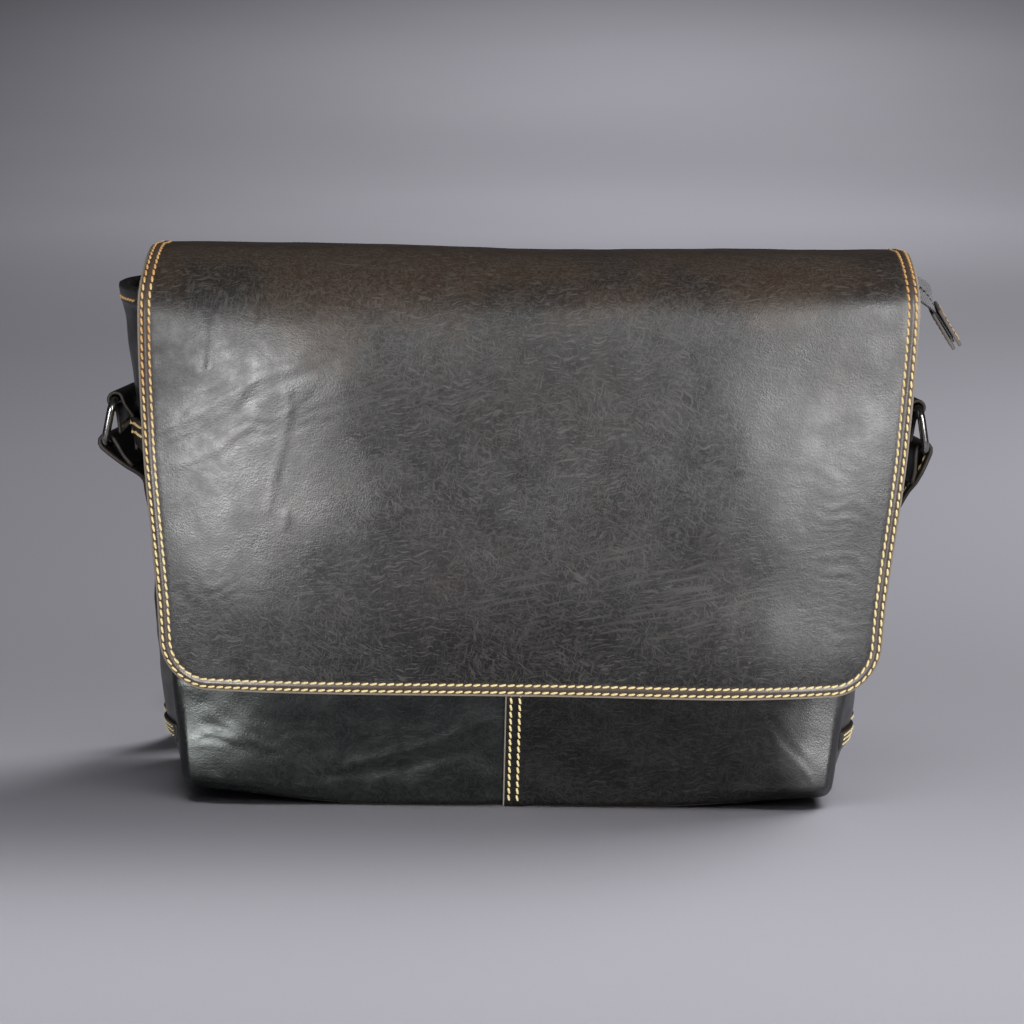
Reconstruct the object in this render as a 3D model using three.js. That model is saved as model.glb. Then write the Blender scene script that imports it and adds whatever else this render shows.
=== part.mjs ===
// Leather messenger bag standing on its base: a trapezoid body of sewn leather walls,
// a wide flap over the top and front, a ring on a folded tab at each side, a shoulder
// strap from ring to ring, and an open zip whose sewn tail hangs over the right gusset.
// Millimetres, +Z up, +X to the right seen from the front, front towards -Y.
// The origin is on the floor, at the middle of the flat base.
import * as THREE from "three";

// Leather and clearances
const LEATHER = 2.2;
const SEAM_GAP = 0.4;
const LAY_GAP = 0.8;

// Body: half width at the floor, how fast it widens with height, and how far the standing bag
// leans to the right
const BASE_HALF = 160.5;
const WIDEN_PER_MM = 0.00064;
const LEAN_PER_MM = 0.0138;
const CORNER_RADIUS = 10;
const EDGE_ROLL = 7.5;
const FRONT_TOP = 240;
const BACK_TOP = 252;
const GUSSET_TOP = 251.5;
const LAP_SEAM_HEIGHT = 181;
const BASE_SEAM_HEIGHT = 32;
const HEM_HEIGHT = 11;
const HEM_EXTRA = 1.8;
const CENTRE_SEAM_SPREAD = 14;

// Body sections by height: half the depth at the side seams, how far the front swells, how
// deep its centre seam pulls in, how far the gussets swell and how deep their fold runs
const BODY_SECTIONS = [
  { height: 0, halfDepth: 45, frontBulge: 8, seamDip: 2.5, gussetBulge: 0, gussetFold: 0 },
  { height: 32, halfDepth: 46, frontBulge: 9, seamDip: 2.5, gussetBulge: 9.5, gussetFold: 3 },
  { height: 60, halfDepth: 47, frontBulge: 10.5, seamDip: 2.2, gussetBulge: 11.5, gussetFold: 4 },
  { height: 105, halfDepth: 47, frontBulge: 11.5, seamDip: 1.5, gussetBulge: 9.8, gussetFold: 3.5 },
  { height: 150, halfDepth: 46, frontBulge: 12, seamDip: 0.8, gussetBulge: 8, gussetFold: 2 },
  { height: 215, halfDepth: 42, frontBulge: 10, seamDip: 0, gussetBulge: 9.8, gussetFold: 0 },
  { height: 270, halfDepth: 40, frontBulge: 9, seamDip: 0, gussetBulge: 12.8, gussetFold: 0 },
];
const GUSSET_FOLD_AT = 0.38;
const GUSSET_FOLD_SPREAD = 0.11;

// Flap
const FLAP_SHIFT = 5;
const FLAP_TOP = 270.7;
const FLAP_TOP_SAG = 2;
const FLAP_HEM = 222;
const FLAP_BOTTOM = 58;
const FLAP_CORNER = 23;
const FLAP_FRONT_BEND = 27;
const FLAP_REAR_BEND = 15;
// Half the flap's width by height down the front; the top and the back keep the last row's
const FLAP_WIDTHS = [
  { height: 58, half: 175 },
  { height: 78, half: 176.3 },
  { height: 105, half: 178 },
  { height: 150, half: 183 },
  { height: 180, half: 185.8 },
  { height: 246, half: 188.7 },
  { height: 270, half: 186.5 },
];

// Side rings, bent from wire, and the folded tabs that hold them
const RING_WIRE = 4;
const RING_WIDTH = 50;
const RING_HEIGHT = 25.5;
const RING_CORNER = 5;
const RING_LEAN_DEG = 11;
const RING_YAW_DEG = 9;
const RING_TOP_BAR = { x: 195.4, y: 2, z: 195.5 };
const TAB_WIDTH = 36;
const TAB_THICKNESS = 1.6;
const TAB_INNER_END = 171;
const TAB_OUTER_END = 177;
// Heights where the tab's leaves come together below the bar
const TAB_LEAVES_MEET = 185;

// Shoulder strap: one row for each station of the left half, from below the ring to the
// middle of the back; the right half mirrors it. wx, wy, wz give the direction of the strap's
// width there, which turns as the strap twists from the gusset to its edge on the floor.
const STRAP_WIDTH = 38;
const STRAP_THICKNESS = 2;
const STRAP_ON_EDGE = STRAP_WIDTH / 2 + 0.1;
const STRAP_STATIONS = [
  { x: -189.6, y: 4, z: 158.5, wx: 0.1, wy: 1, wz: 0 },
  { x: -185.8, y: 9, z: 143, wx: 0.08, wy: 1, wz: 0 },
  { x: -183.2, y: 22, z: 119, wx: 0.2, wy: 0.97, wz: 0.1 },
  { x: -175, y: 46.5, z: 91, wx: 0.62, wy: 0.76, wz: 0.1 },
  { x: -165, y: 61, z: 63, wx: 0.93, wy: 0.35, wz: 0.05 },
  { x: -159, y: 68, z: 39, wx: 1, wy: 0, wz: 0 },
  { x: -157, y: 79, z: 17, wx: 1, wy: 0, wz: 0 },
  { x: -156, y: 98, z: 4, wx: 1, wy: 0, wz: 0.05 },
  { x: -155, y: 121, z: 7.2, wx: 0.95, wy: 0, wz: 0.3 },
  { x: -155, y: 143, z: 14.2, wx: 0.72, wy: 0, wz: 0.69 },
  { x: -154, y: 165, z: 18.2, wx: 0.36, wy: 0, wz: 0.93 },
  { x: -152, y: 186, z: STRAP_ON_EDGE, wx: 0.08, wy: 0, wz: 1 },
  { x: -146, y: 208, z: STRAP_ON_EDGE, wx: 0, wy: 0, wz: 1 },
  { x: -132, y: 226, z: STRAP_ON_EDGE, wx: 0, wy: 0, wz: 1 },
  { x: -100, y: 235, z: STRAP_ON_EDGE, wx: 0, wy: 0, wz: 1 },
  { x: -50, y: 238, z: STRAP_ON_EDGE, wx: 0, wy: 0, wz: 1 },
];
const STRAP_MIDDLE = { x: 0, y: 239, z: STRAP_ON_EDGE, wx: 0, wy: 0, wz: 1 };
// The strap's sewn tail and its first stretch, on either side of a line from the ring's lower bar:
// distance along that line and offset from it
const STRAP_TAIL = [
  { along: 17, off: 1.4 },
  { along: 11, off: 1.5 },
  { along: 5, off: 2.7 },
];

// Open zip: each tape runs inside a rim of the mouth, then over the right gusset to the tail.
// The rows after the rim give how far the tape is from the middle of the bag's depth.
const TAPE_WIDTH = 13.5;
const TAPE_THICKNESS = 1;
const TAPE_RIM_HEIGHT = 237;
const TAPE_RIM_FROM = -168;
const TAPE_RIM_TO = 120;
const TAPE_OVER_GUSSET = [
  { x: 146, off: 36.6, z: 237.4, wy: 0.05, wz: 1 },
  { x: 162, off: 33, z: 239, wy: 0.15, wz: 1 },
  { x: 175, off: 22, z: 245, wy: 0.55, wz: 0.8 },
  { x: 184, off: 11, z: 254.6, wy: 0.95, wz: 0.2 },
];
const TAPE_SPREAD = 7.2;
// The tail past the gusset's rim, whose outer end the tab covers
const ZIP_TAIL = [
  { x: 192.6, z: 255.8 },
  { x: 200.6, z: 251.6 },
  { x: 206.4, z: 243.4 },
];
const ZIP_TAIL_ANGLE_DEG = -57;
const ZIP_TAIL_TILT_DEG = 6;
const ZIP_TAIL_INSIDE_TAB = 17;
const END_TAB = { length: 20, halfWidth: 15.5, leaf: 1.7, slot: 1.8, spine: 1.7 };

const looks = {
  leather: { color: 0x2b2a29, roughness: 0.45 },
  strap: { color: 0x1f1c1a, roughness: 0.5 },
  metal: { color: 0x4a4a4c, roughness: 0.25, metalness: 1 },
  cloth: { color: 0x3c3c3d, roughness: 0.9 },
};

const evenly = (from, to, steps) =>
  Array.from({ length: steps + 1 }, (_, i) => from + ((to - from) * i) / steps);

// A column of a table at a height between its rows, as a smooth curve through them
function atHeight(rows, column, height) {
  const last = rows.length - 1;
  const clamped = THREE.MathUtils.clamp(height, rows[0].height, rows[last].height);
  const i = Math.min(last - 1, rows.findLastIndex((row) => row.height <= clamped));
  const slope = (k) => {
    const [low, high] = [rows[Math.max(k - 1, 0)], rows[Math.min(k + 1, last)]];
    return (high[column] - low[column]) / (high.height - low.height);
  };
  const span = rows[i + 1].height - rows[i].height;
  const t = (clamped - rows[i].height) / span;
  const rise = t * t * (3 - 2 * t);
  return (
    rows[i][column] * (1 - rise) +
    rows[i + 1][column] * rise +
    span * t * (1 - t) * (slope(i) * (1 - t) - slope(i + 1) * t)
  );
}

const bodySection = (column, z) => atHeight(BODY_SECTIONS, column, z);
const widen = (z) => 1 + WIDEN_PER_MM * z;

// The front's outer face, with its swell and the dip along its centre seam; x is at floor width
function frontFace(x, z) {
  const across = 1 - (x / BASE_HALF) ** 2;
  const dip = bodySection("seamDip", z) * Math.exp(-((x / CENTRE_SEAM_SPREAD) ** 2));
  return -(bodySection("halfDepth", z) + bodySection("frontBulge", z) * across) + dip;
}
const backFace = (z) => bodySection("halfDepth", z);

// A geometry from points and triangles, turned right side out
function solidFrom(points, faces) {
  const cross = new THREE.Vector3();
  let volume = 0;
  for (let i = 0; i < faces.length; i += 3) {
    const [a, b, c] = [points[faces[i]], points[faces[i + 1]], points[faces[i + 2]]];
    volume += a.dot(cross.crossVectors(b, c));
  }
  if (volume < 0) faces.reverse();
  const geometry = new THREE.BufferGeometry().setFromPoints(points);
  geometry.setIndex(faces);
  geometry.computeVertexNormals();
  return geometry;
}

// A closed solid between two grids of points, outer[row][column] and inner[row][column]
function wallBetween(outer, inner) {
  const rows = outer.length;
  const columns = outer[0].length;
  const points = [...outer.flat(), ...inner.flat()];
  const at = (face, row, column) => (face * rows + row) * columns + column;
  const faces = [];
  const quad = (a, b, c, d) => faces.push(a, b, c, a, c, d);
  const [lastRow, lastColumn] = [rows - 1, columns - 1];
  for (let i = 0; i < lastRow; i++) {
    for (let j = 0; j < lastColumn; j++) {
      quad(at(0, i, j), at(0, i + 1, j), at(0, i + 1, j + 1), at(0, i, j + 1));
      quad(at(1, i, j), at(1, i, j + 1), at(1, i + 1, j + 1), at(1, i + 1, j));
    }
    quad(at(0, i, 0), at(1, i, 0), at(1, i + 1, 0), at(0, i + 1, 0));
    quad(at(0, i, lastColumn), at(0, i + 1, lastColumn), at(1, i + 1, lastColumn), at(1, i, lastColumn));
  }
  for (let j = 0; j < lastColumn; j++) {
    quad(at(0, 0, j), at(0, 0, j + 1), at(1, 0, j + 1), at(1, 0, j));
    quad(at(0, lastRow, j), at(1, lastRow, j), at(1, lastRow, j + 1), at(0, lastRow, j + 1));
  }
  return solidFrom(points, faces);
}

// A sheet of middle points given a thickness, half to each side along its normals
function thicken(surface, thickness) {
  const rows = surface.length - 1;
  const columns = surface[0].length - 1;
  const normal = (i, j) => {
    const down = surface[Math.min(i + 1, rows)][j].clone().sub(surface[Math.max(i - 1, 0)][j]);
    const along = surface[i][Math.min(j + 1, columns)].clone().sub(surface[i][Math.max(j - 1, 0)]);
    return down.cross(along).normalize();
  };
  const offset = (reach) =>
    surface.map((row, i) => row.map((point, j) => point.clone().addScaledVector(normal(i, j), reach)));
  return wallBetween(offset(thickness / 2), offset(-thickness / 2));
}

// Distances from an edge that a rolled border is cut at: close together where it turns most
const ROLL_ANGLES_DEG = [90, 60, 30, 0];
const rollInsets = ROLL_ANGLES_DEG.map((deg) => EDGE_ROLL * (1 - Math.sin(THREE.MathUtils.degToRad(deg))));
const bottomRun = BASE_HALF - CORNER_RADIUS;
const cornerRun = (CORNER_RADIUS * Math.PI) / 2;

// A place on a rolled panel, before it is widened: where a square grid's point goes when the
// grid's lower corners are rounded, the way out of the outline there, and how far the border
// has turned from facing front (0) to facing out of the outline (1)
function rolledPlace(gridX, gridZ) {
  const sign = Math.sign(gridX);
  const past = Math.max(0, Math.abs(gridX) - bottomRun);
  const below = Math.max(0, CORNER_RADIUS - gridZ);
  const reach = Math.max(past, below);
  const lean = Math.max(0, 1 - (CORNER_RADIUS - reach) / EDGE_ROLL);
  if (past > 0 && below > 0) {
    const eighths = below <= past ? below / past : 2 - past / below;
    const angle = (eighths * Math.PI) / 4;
    const [outX, outZ] = [sign * Math.cos(angle), -Math.sin(angle)];
    return { x: sign * bottomRun + outX * reach, z: CORNER_RADIUS + outZ * reach, outX, outZ, lean };
  }
  const sideways = past >= below;
  return { x: gridX, z: gridZ, outX: sideways ? sign : 0, outZ: sideways ? 0 : -1, lean };
}

// A panel of the body with its sides and bottom rolled towards the opposite panel.
// facing is -1 for the front and +1 for the back; xs are at floor width.
function rolledPanel(xs, top, rows, facing, face) {
  const zs = [...evenly(top, CORNER_RADIUS, rows), ...rollInsets.toReversed()];
  const grid = (depth) =>
    zs.map((gridZ) =>
      xs.map((gridX) => {
        const { x, z, outX, outZ, lean } = rolledPlace(gridX, gridZ);
        const upright = Math.sqrt(1 - lean * lean);
        const back = EDGE_ROLL - (EDGE_ROLL - depth) * upright;
        const height = z - outZ * depth * lean;
        const wide = (x - outX * depth * lean) * widen(height);
        return new THREE.Vector3(wide, face(x, z) - facing * back, height);
      }),
    );
  return wallBetween(grid(0), grid(LEATHER));
}

// Columns of a rolled panel from an inner edge out to a side
function columnsTo(side, from, steps) {
  const rolled = rollInsets.toReversed().map((inset) => BASE_HALF - inset);
  return [...evenly(from, bottomRun, steps), ...rolled].map((x) => side * x);
}

// The body's outline seen from the front, at floor width: a point and its outward direction
// at a distance along the bottom from the middle, turning up the side past the corner
function outline(distance) {
  const side = Math.sign(distance) || 1;
  const run = Math.abs(distance);
  if (run <= bottomRun) return { x: distance, z: 0, outX: 0, outZ: -1 };
  if (run >= bottomRun + cornerRun) {
    const z = CORNER_RADIUS + run - bottomRun - cornerRun;
    return { x: side * BASE_HALF, z, outX: side, outZ: 0 };
  }
  const angle = (run - bottomRun) / CORNER_RADIUS;
  const [outX, outZ] = [side * Math.sin(angle), -Math.cos(angle)];
  return { x: side * bottomRun + CORNER_RADIUS * outX, z: CORNER_RADIUS * (1 + outZ), outX, outZ };
}
const runToHeight = (z) => bottomRun + cornerRun + z - CORNER_RADIUS;

// How far a gusset stands out of the outline, across its depth from 0 at the front to 1
function gussetSwell(across, z) {
  const bow = 1 - (2 * across - 1) ** 2;
  const fold = Math.exp(-(((across - GUSSET_FOLD_AT) / GUSSET_FOLD_SPREAD) ** 2));
  return bodySection("gussetBulge", z) * bow - bodySection("gussetFold", z) * fold;
}

// A wall between the front's and the back's rolled edges, along a stretch of the outline
function outlineWall(runs, acrossSteps, thickness = () => LEATHER) {
  const grid = (inset) =>
    runs.map((run) => {
      const edge = outline(run);
      const front = frontFace(edge.x, edge.z) + EDGE_ROLL + SEAM_GAP;
      const back = backFace(edge.z) - EDGE_ROLL - SEAM_GAP;
      return evenly(0, 1, acrossSteps).map((across) => {
        const out = gussetSwell(across, edge.z) * Math.abs(edge.outX) - inset(edge.z);
        const x = edge.x * widen(edge.z) + edge.outX * out;
        return new THREE.Vector3(x, front + (back - front) * across, edge.z + edge.outZ * out);
      });
    });
  return wallBetween(grid(() => 0), grid(thickness));
}

function gussetUpper(side) {
  const hemFrom = GUSSET_TOP - HEM_HEIGHT;
  const thickness = (z) => LEATHER + (z >= hemFrom ? HEM_EXTRA : 0);
  const heights = [...evenly(LAP_SEAM_HEIGHT + SEAM_GAP, hemFrom - 1, 4), hemFrom, GUSSET_TOP];
  return outlineWall(heights.map((z) => side * runToHeight(z)), 12, thickness);
}

function gussetLower(side) {
  const heights = evenly(BASE_SEAM_HEIGHT + SEAM_GAP, LAP_SEAM_HEIGHT, 9);
  return outlineWall(heights.map((z) => side * runToHeight(z)), 14);
}

function basePanel() {
  const half = [
    ...evenly(0, bottomRun, 6),
    ...evenly(bottomRun, bottomRun + cornerRun, 4).slice(1),
    ...evenly(bottomRun + cornerRun, runToHeight(BASE_SEAM_HEIGHT), 2).slice(1),
  ];
  const mirrored = half.slice(1).toReversed().map((run) => -run);
  return outlineWall([...mirrored, ...half], 6);
}

// The flap, from its hem on the back, over the top and down to its rounded lower corners.
// Each row has half its width and the place of its middle surface at a given x and top sag.
function flap() {
  const lay = LAY_GAP + LEATHER / 2;
  const frontY = (x, z) => frontFace(x / widen(z), z) - lay;
  const frontBend = FLAP_TOP - FLAP_FRONT_BEND;
  const rearBend = FLAP_TOP - FLAP_REAR_BEND;
  const bendY = (x) => frontY(x, frontBend) + FLAP_FRONT_BEND;
  const topY = backFace(rearBend) + lay - FLAP_REAR_BEND;
  const turns = evenly(0, Math.PI / 2, 6);
  const halfAt = (z) => atHeight(FLAP_WIDTHS, "half", z);
  const cornered = (drop) => FLAP_CORNER - Math.sqrt(FLAP_CORNER ** 2 - (FLAP_CORNER - drop) ** 2);
  const cornerDrops = evenly(Math.PI / 2, 0, 5).map((a) => FLAP_CORNER * (1 - Math.cos(a)));

  const rear = evenly(FLAP_HEM, rearBend, 3).map((z) => ({
    half: halfAt(FLAP_TOP),
    place: () => [backFace(z) + lay, z],
  }));
  const overBack = turns.slice(1).map((turn) => ({
    half: halfAt(FLAP_TOP),
    place: (x, sag) => [
      topY + FLAP_REAR_BEND * Math.cos(turn),
      rearBend + (FLAP_REAR_BEND - sag) * Math.sin(turn),
    ],
  }));
  const top = evenly(0, 1, 4).slice(1, -1).map((share) => ({
    half: halfAt(FLAP_TOP),
    place: (x, sag) => [topY + (bendY(x) - topY) * share, FLAP_TOP - sag],
  }));
  const overFront = turns.toReversed().map((turn) => ({
    half: halfAt(frontBend + FLAP_FRONT_BEND * Math.sin(turn)),
    place: (x, sag) => [
      bendY(x) - FLAP_FRONT_BEND * Math.cos(turn),
      frontBend + (FLAP_FRONT_BEND - sag) * Math.sin(turn),
    ],
  }));
  const front = evenly(frontBend, FLAP_BOTTOM + FLAP_CORNER, 10).slice(1).map((z) => ({
    half: halfAt(z),
    place: (x) => [frontY(x, z), z],
  }));
  const corners = cornerDrops.slice(1).map((drop) => ({
    half: halfAt(FLAP_BOTTOM + drop) - cornered(drop),
    place: (x) => [frontY(x, FLAP_BOTTOM + drop), FLAP_BOTTOM + drop],
  }));

  const rows = [...rear, ...overBack, ...top, ...overFront, ...front, ...corners];
  const surface = rows.map((row) =>
    evenly(-1, 1, 18).map((across) => {
      const x = FLAP_SHIFT + across * row.half;
      return new THREE.Vector3(x, ...row.place(x, FLAP_TOP_SAG * (1 - across * across)));
    }),
  );
  return thicken(surface, LEATHER);
}

// A flat ribbon through stations with a width direction at each, with square edges
function ribbon(stations, width, thickness, steps) {
  const centres = new THREE.CatmullRomCurve3(stations.map((s) => new THREE.Vector3(s.x, s.y, s.z)));
  const widths = new THREE.CatmullRomCurve3(stations.map((s) => new THREE.Vector3(s.wx, s.wy, s.wz)));
  const face = (reach) =>
    evenly(0, 1, steps).map((share) => {
      const along = centres.getTangent(share);
      const across = widths.getPoint(share);
      across.addScaledVector(along, -across.dot(along)).setLength(width / 2);
      const out = along.cross(across).setLength(thickness / 2);
      const middle = centres.getPoint(share).addScaledVector(out, reach);
      return [middle.clone().sub(across), middle.clone().add(across)];
    });
  return wallBetween(face(1), face(-1));
}

// A ring hangs from its top bar, leans away from the bag and is turned back by the strap.
// hung gives a point of the right-hand ring or of what is folded over it: out from the bag, along
// the bar to the back, and up from the bar.
const lean = THREE.MathUtils.degToRad(RING_LEAN_DEG);
const yaw = THREE.MathUtils.degToRad(RING_YAW_DEG);
const ringDrop = RING_HEIGHT - RING_WIRE;
const lowerBar = { out: ringDrop * Math.sin(lean), up: -ringDrop * Math.cos(lean) };
function hung(side, out, along, up) {
  return {
    x: side * (RING_TOP_BAR.x + out * Math.cos(yaw) - along * Math.sin(yaw)),
    y: RING_TOP_BAR.y + out * Math.sin(yaw) + along * Math.cos(yaw),
    z: RING_TOP_BAR.z + up,
    wx: -side * Math.sin(yaw),
    wy: Math.cos(yaw),
    wz: 0,
  };
}

// A rounded rectangle of wire
function ring(side) {
  const wireSides = 8;
  const halfWidth = (RING_WIDTH - RING_WIRE) / 2 - RING_CORNER;
  const corners = [
    { along: halfWidth, down: RING_CORNER, fromDeg: -90 },
    { along: halfWidth, down: ringDrop - RING_CORNER, fromDeg: 0 },
    { along: -halfWidth, down: ringDrop - RING_CORNER, fromDeg: 90 },
    { along: -halfWidth, down: RING_CORNER, fromDeg: 180 },
  ];
  const bends = corners.flatMap((corner) =>
    evenly(corner.fromDeg, corner.fromDeg + 90, 5).map((deg) => ({ ...corner, turn: THREE.MathUtils.degToRad(deg) })),
  );
  const points = bends.flatMap(({ along, down, turn }) =>
    evenly(0, 2 * Math.PI, wireSides).slice(1).map((a) => {
      const reach = RING_CORNER + (RING_WIRE / 2) * Math.cos(a);
      const off = (RING_WIRE / 2) * Math.sin(a);
      const drop = down + reach * Math.sin(turn);
      const [out, up] = [drop * Math.sin(lean) + off * Math.cos(lean), off * Math.sin(lean) - drop * Math.cos(lean)];
      const { x, y, z } = hung(side, out, along + reach * Math.cos(turn), up);
      return new THREE.Vector3(x, y, z);
    }),
  );
  const faces = bends.flatMap((_, i) => {
    const [here, next] = [i * wireSides, ((i + 1) % bends.length) * wireSides];
    return evenly(0, wireSides - 1, wireSides - 1).flatMap((k) => {
      const after = (k + 1) % wireSides;
      return [here + k, here + after, next + after, here + k, next + after, next + k];
    });
  });
  return solidFrom(points, faces);
}

// The tab lies on the gusset, folds outwards over the ring's top bar and comes back to itself
function ringTab(side) {
  const wrap = RING_WIRE / 2 + LAY_GAP + TAB_THICKNESS / 2;
  const gussetSide = (z) => BASE_HALF * widen(z) + bodySection("gussetBulge", z);
  const leaf = (layer, z) => ({
    x: side * (gussetSide(z) + layer * SEAM_GAP + (layer - 0.5) * TAB_THICKNESS),
    y: RING_TOP_BAR.y,
    z,
    wx: 0,
    wy: 1,
    wz: 0,
  });
  const fold = evenly(170, -50, 7).map((deg) => {
    const a = THREE.MathUtils.degToRad(deg);
    return hung(side, wrap * Math.cos(a), 0, wrap * Math.sin(a));
  });
  const inner = evenly(TAB_INNER_END, TAB_LEAVES_MEET, 3).map((z) => leaf(1, z));
  const outer = evenly(TAB_LEAVES_MEET, TAB_OUTER_END, 2).map((z) => leaf(2, z));
  return ribbon([...inner, ...fold, ...outer], TAB_WIDTH, TAB_THICKNESS, 36);
}

// The strap's left end: its sewn tail inside, then over the ring's lower bar and out
function strapEnd() {
  const first = STRAP_STATIONS[0];
  const bar = hung(-1, lowerBar.out, 0, lowerBar.up);
  const run = new THREE.Vector2(bar.x - first.x, first.z - bar.z).normalize();
  const wrap = RING_WIRE / 2 + SEAM_GAP + STRAP_THICKNESS / 2;
  const spot = (along, off) =>
    hung(-1, lowerBar.out + run.x * along + run.y * off, 0, lowerBar.up + run.y * along - run.x * off);
  const tail = STRAP_TAIL.map((row) => spot(row.along, row.off));
  const over = evenly(0, Math.PI, 5).map((a) => spot(-wrap * Math.sin(a), wrap * Math.cos(a)));
  const out = STRAP_TAIL.slice(1).toReversed().map((row) => spot(row.along, -row.off));
  return [...tail, ...over, ...out];
}

function shoulderStrap() {
  const left = [...strapEnd(), ...STRAP_STATIONS];
  const right = left.toReversed().map((s) => ({ ...s, x: -s.x, wx: -s.wx }));
  return ribbon([...left, STRAP_MIDDLE, ...right], STRAP_WIDTH, STRAP_THICKNESS, 132);
}

// Directions of the zip's tail: down its length, across its width and out of its upper face
const tailAngle = THREE.MathUtils.degToRad(ZIP_TAIL_ANGLE_DEG);
const tailTilt = THREE.MathUtils.degToRad(ZIP_TAIL_TILT_DEG);
const tailDown = new THREE.Vector3(Math.cos(tailAngle), 0, Math.sin(tailAngle));
const tailAcross = new THREE.Vector3(0, 1, 0).applyAxisAngle(tailDown, -tailTilt);
const tailOut = new THREE.Vector3().crossVectors(tailDown, tailAcross);
const tabTop = new THREE.Vector3(ZIP_TAIL.at(-1).x, 0, ZIP_TAIL.at(-1).z);

// One zip tape; facing is -1 for the front rim's and +1 for the back's
function zipTape(facing) {
  const inside = LEATHER + LAY_GAP + TAPE_THICKNESS / 2;
  const z = TAPE_RIM_HEIGHT;
  const face = (x) => (facing < 0 ? -frontFace(x / widen(z), z) : backFace(z)) - inside;
  const rim = evenly(TAPE_RIM_FROM, TAPE_RIM_TO, 10).map((x) => ({ x, off: face(x), z, wy: 0, wz: 1 }));
  const onRim = [...rim, ...TAPE_OVER_GUSSET].map((row) => ({
    x: row.x,
    y: facing * row.off,
    z: row.z,
    wx: 0,
    wy: -facing * row.wy,
    wz: row.wz,
  }));
  const inTab = [ZIP_TAIL_INSIDE_TAB / 2, ZIP_TAIL_INSIDE_TAB].map((reach) =>
    tabTop.clone().addScaledVector(tailDown, reach),
  );
  const tail = [...ZIP_TAIL.map((row) => new THREE.Vector3(row.x, 0, row.z)), ...inTab].map((spot) => {
    const { x, y, z: height } = spot.addScaledVector(tailAcross, facing * TAPE_SPREAD);
    const [wx, wy, wz] = tailAcross.clone().multiplyScalar(-facing).toArray();
    return { x, y, z: height, wx, wy, wz };
  });
  return ribbon([...onRim, ...tail], TAPE_WIDTH, TAPE_THICKNESS, 48);
}

// The folded tab over the zip's end: two leaves and the fold that joins them behind
function zipEndTab() {
  const { length, halfWidth, leaf, slot, spine } = END_TAB;
  const [half, gap] = [leaf + slot / 2, slot / 2];
  const section = new THREE.Shape([
    new THREE.Vector2(-halfWidth, -half),
    new THREE.Vector2(halfWidth + spine, -half),
    new THREE.Vector2(halfWidth + spine, half),
    new THREE.Vector2(-halfWidth, half),
    new THREE.Vector2(-halfWidth, gap),
    new THREE.Vector2(halfWidth, gap),
    new THREE.Vector2(halfWidth, -gap),
    new THREE.Vector2(-halfWidth, -gap),
  ]);
  const place = new THREE.Matrix4().makeBasis(tailAcross, tailOut, tailDown).setPosition(tabTop);
  return new THREE.ExtrudeGeometry(section, { depth: length, bevelEnabled: false }).applyMatrix4(place);
}

const bag = new THREE.Group();
const leaning = new THREE.Matrix4().makeShear(0, 0, 0, 0, LEAN_PER_MM, 0);
function add(name, geometry, look) {
  const mesh = new THREE.Mesh(geometry.applyMatrix4(leaning), new THREE.MeshStandardMaterial(look));
  mesh.name = name;
  bag.add(mesh);
}

const backColumns = [...columnsTo(-1, 0, 3).toReversed(), ...columnsTo(1, 0, 3).slice(1)];
add("flap", flap(), looks.leather);
add("back_panel", rolledPanel(backColumns, BACK_TOP, 7, 1, (x, z) => backFace(z)), looks.leather);
add("base_panel", basePanel(), looks.leather);
for (const [name, side] of [["left", -1], ["right", 1]]) {
  const columns = columnsTo(side, SEAM_GAP / 2, 8);
  add(`front_panel_${name}`, rolledPanel(columns, FRONT_TOP, 8, -1, frontFace), looks.leather);
  add(`gusset_lower_${name}`, gussetLower(side), looks.leather);
  add(`gusset_upper_${name}`, gussetUpper(side), looks.leather);
  add(`ring_tab_${name}`, ringTab(side), looks.strap);
  add(`ring_${name}`, ring(side), looks.metal);
}
add("shoulder_strap", shoulderStrap(), looks.strap);
add("zip_tape_front", zipTape(-1), looks.cloth);
add("zip_tape_back", zipTape(1), looks.cloth);
add("zip_end_tab", zipEndTab(), looks.strap);

export default bag;
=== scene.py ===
import math

import bmesh
import bpy
import numpy as np
from mathutils import Matrix, Vector


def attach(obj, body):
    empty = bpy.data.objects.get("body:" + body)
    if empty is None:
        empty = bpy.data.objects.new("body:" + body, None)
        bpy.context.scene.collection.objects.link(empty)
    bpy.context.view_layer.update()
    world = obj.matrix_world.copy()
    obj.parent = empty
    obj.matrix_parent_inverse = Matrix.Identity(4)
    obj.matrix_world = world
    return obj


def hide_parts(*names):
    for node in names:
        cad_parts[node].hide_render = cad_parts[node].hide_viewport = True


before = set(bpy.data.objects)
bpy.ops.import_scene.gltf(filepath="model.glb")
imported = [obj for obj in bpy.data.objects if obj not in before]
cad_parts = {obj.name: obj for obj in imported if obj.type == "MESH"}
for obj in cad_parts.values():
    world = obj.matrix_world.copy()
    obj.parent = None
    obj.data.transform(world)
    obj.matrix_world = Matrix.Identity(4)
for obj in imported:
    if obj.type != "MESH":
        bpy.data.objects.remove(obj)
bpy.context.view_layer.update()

BODY = "root"
SIDES = ((-1, "left"), (1, "right"))

# Camera, fitted to the photograph's frame
CAMERA_AT = (0, -1.55, 0.4)
CAMERA_AIM = (0, -0.05, 0.135)
CAMERA_LENS = 109.96
CAMERA_ROLL_DEG = 0.6
CAMERA_SHIFT = (0.0024, 0.0239)

MM = 0.001
PER_METRE = 1000
TINY = 1e-9
FAR = 1e9
FAR_FROM_EDGE = 50.0
# How a cut edge is rounded: share of the thickness, and how far out it stands there
RIM_STEPS = ((0.12, 0.75), (0.5, 1.0), (0.88, 0.75))

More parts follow.
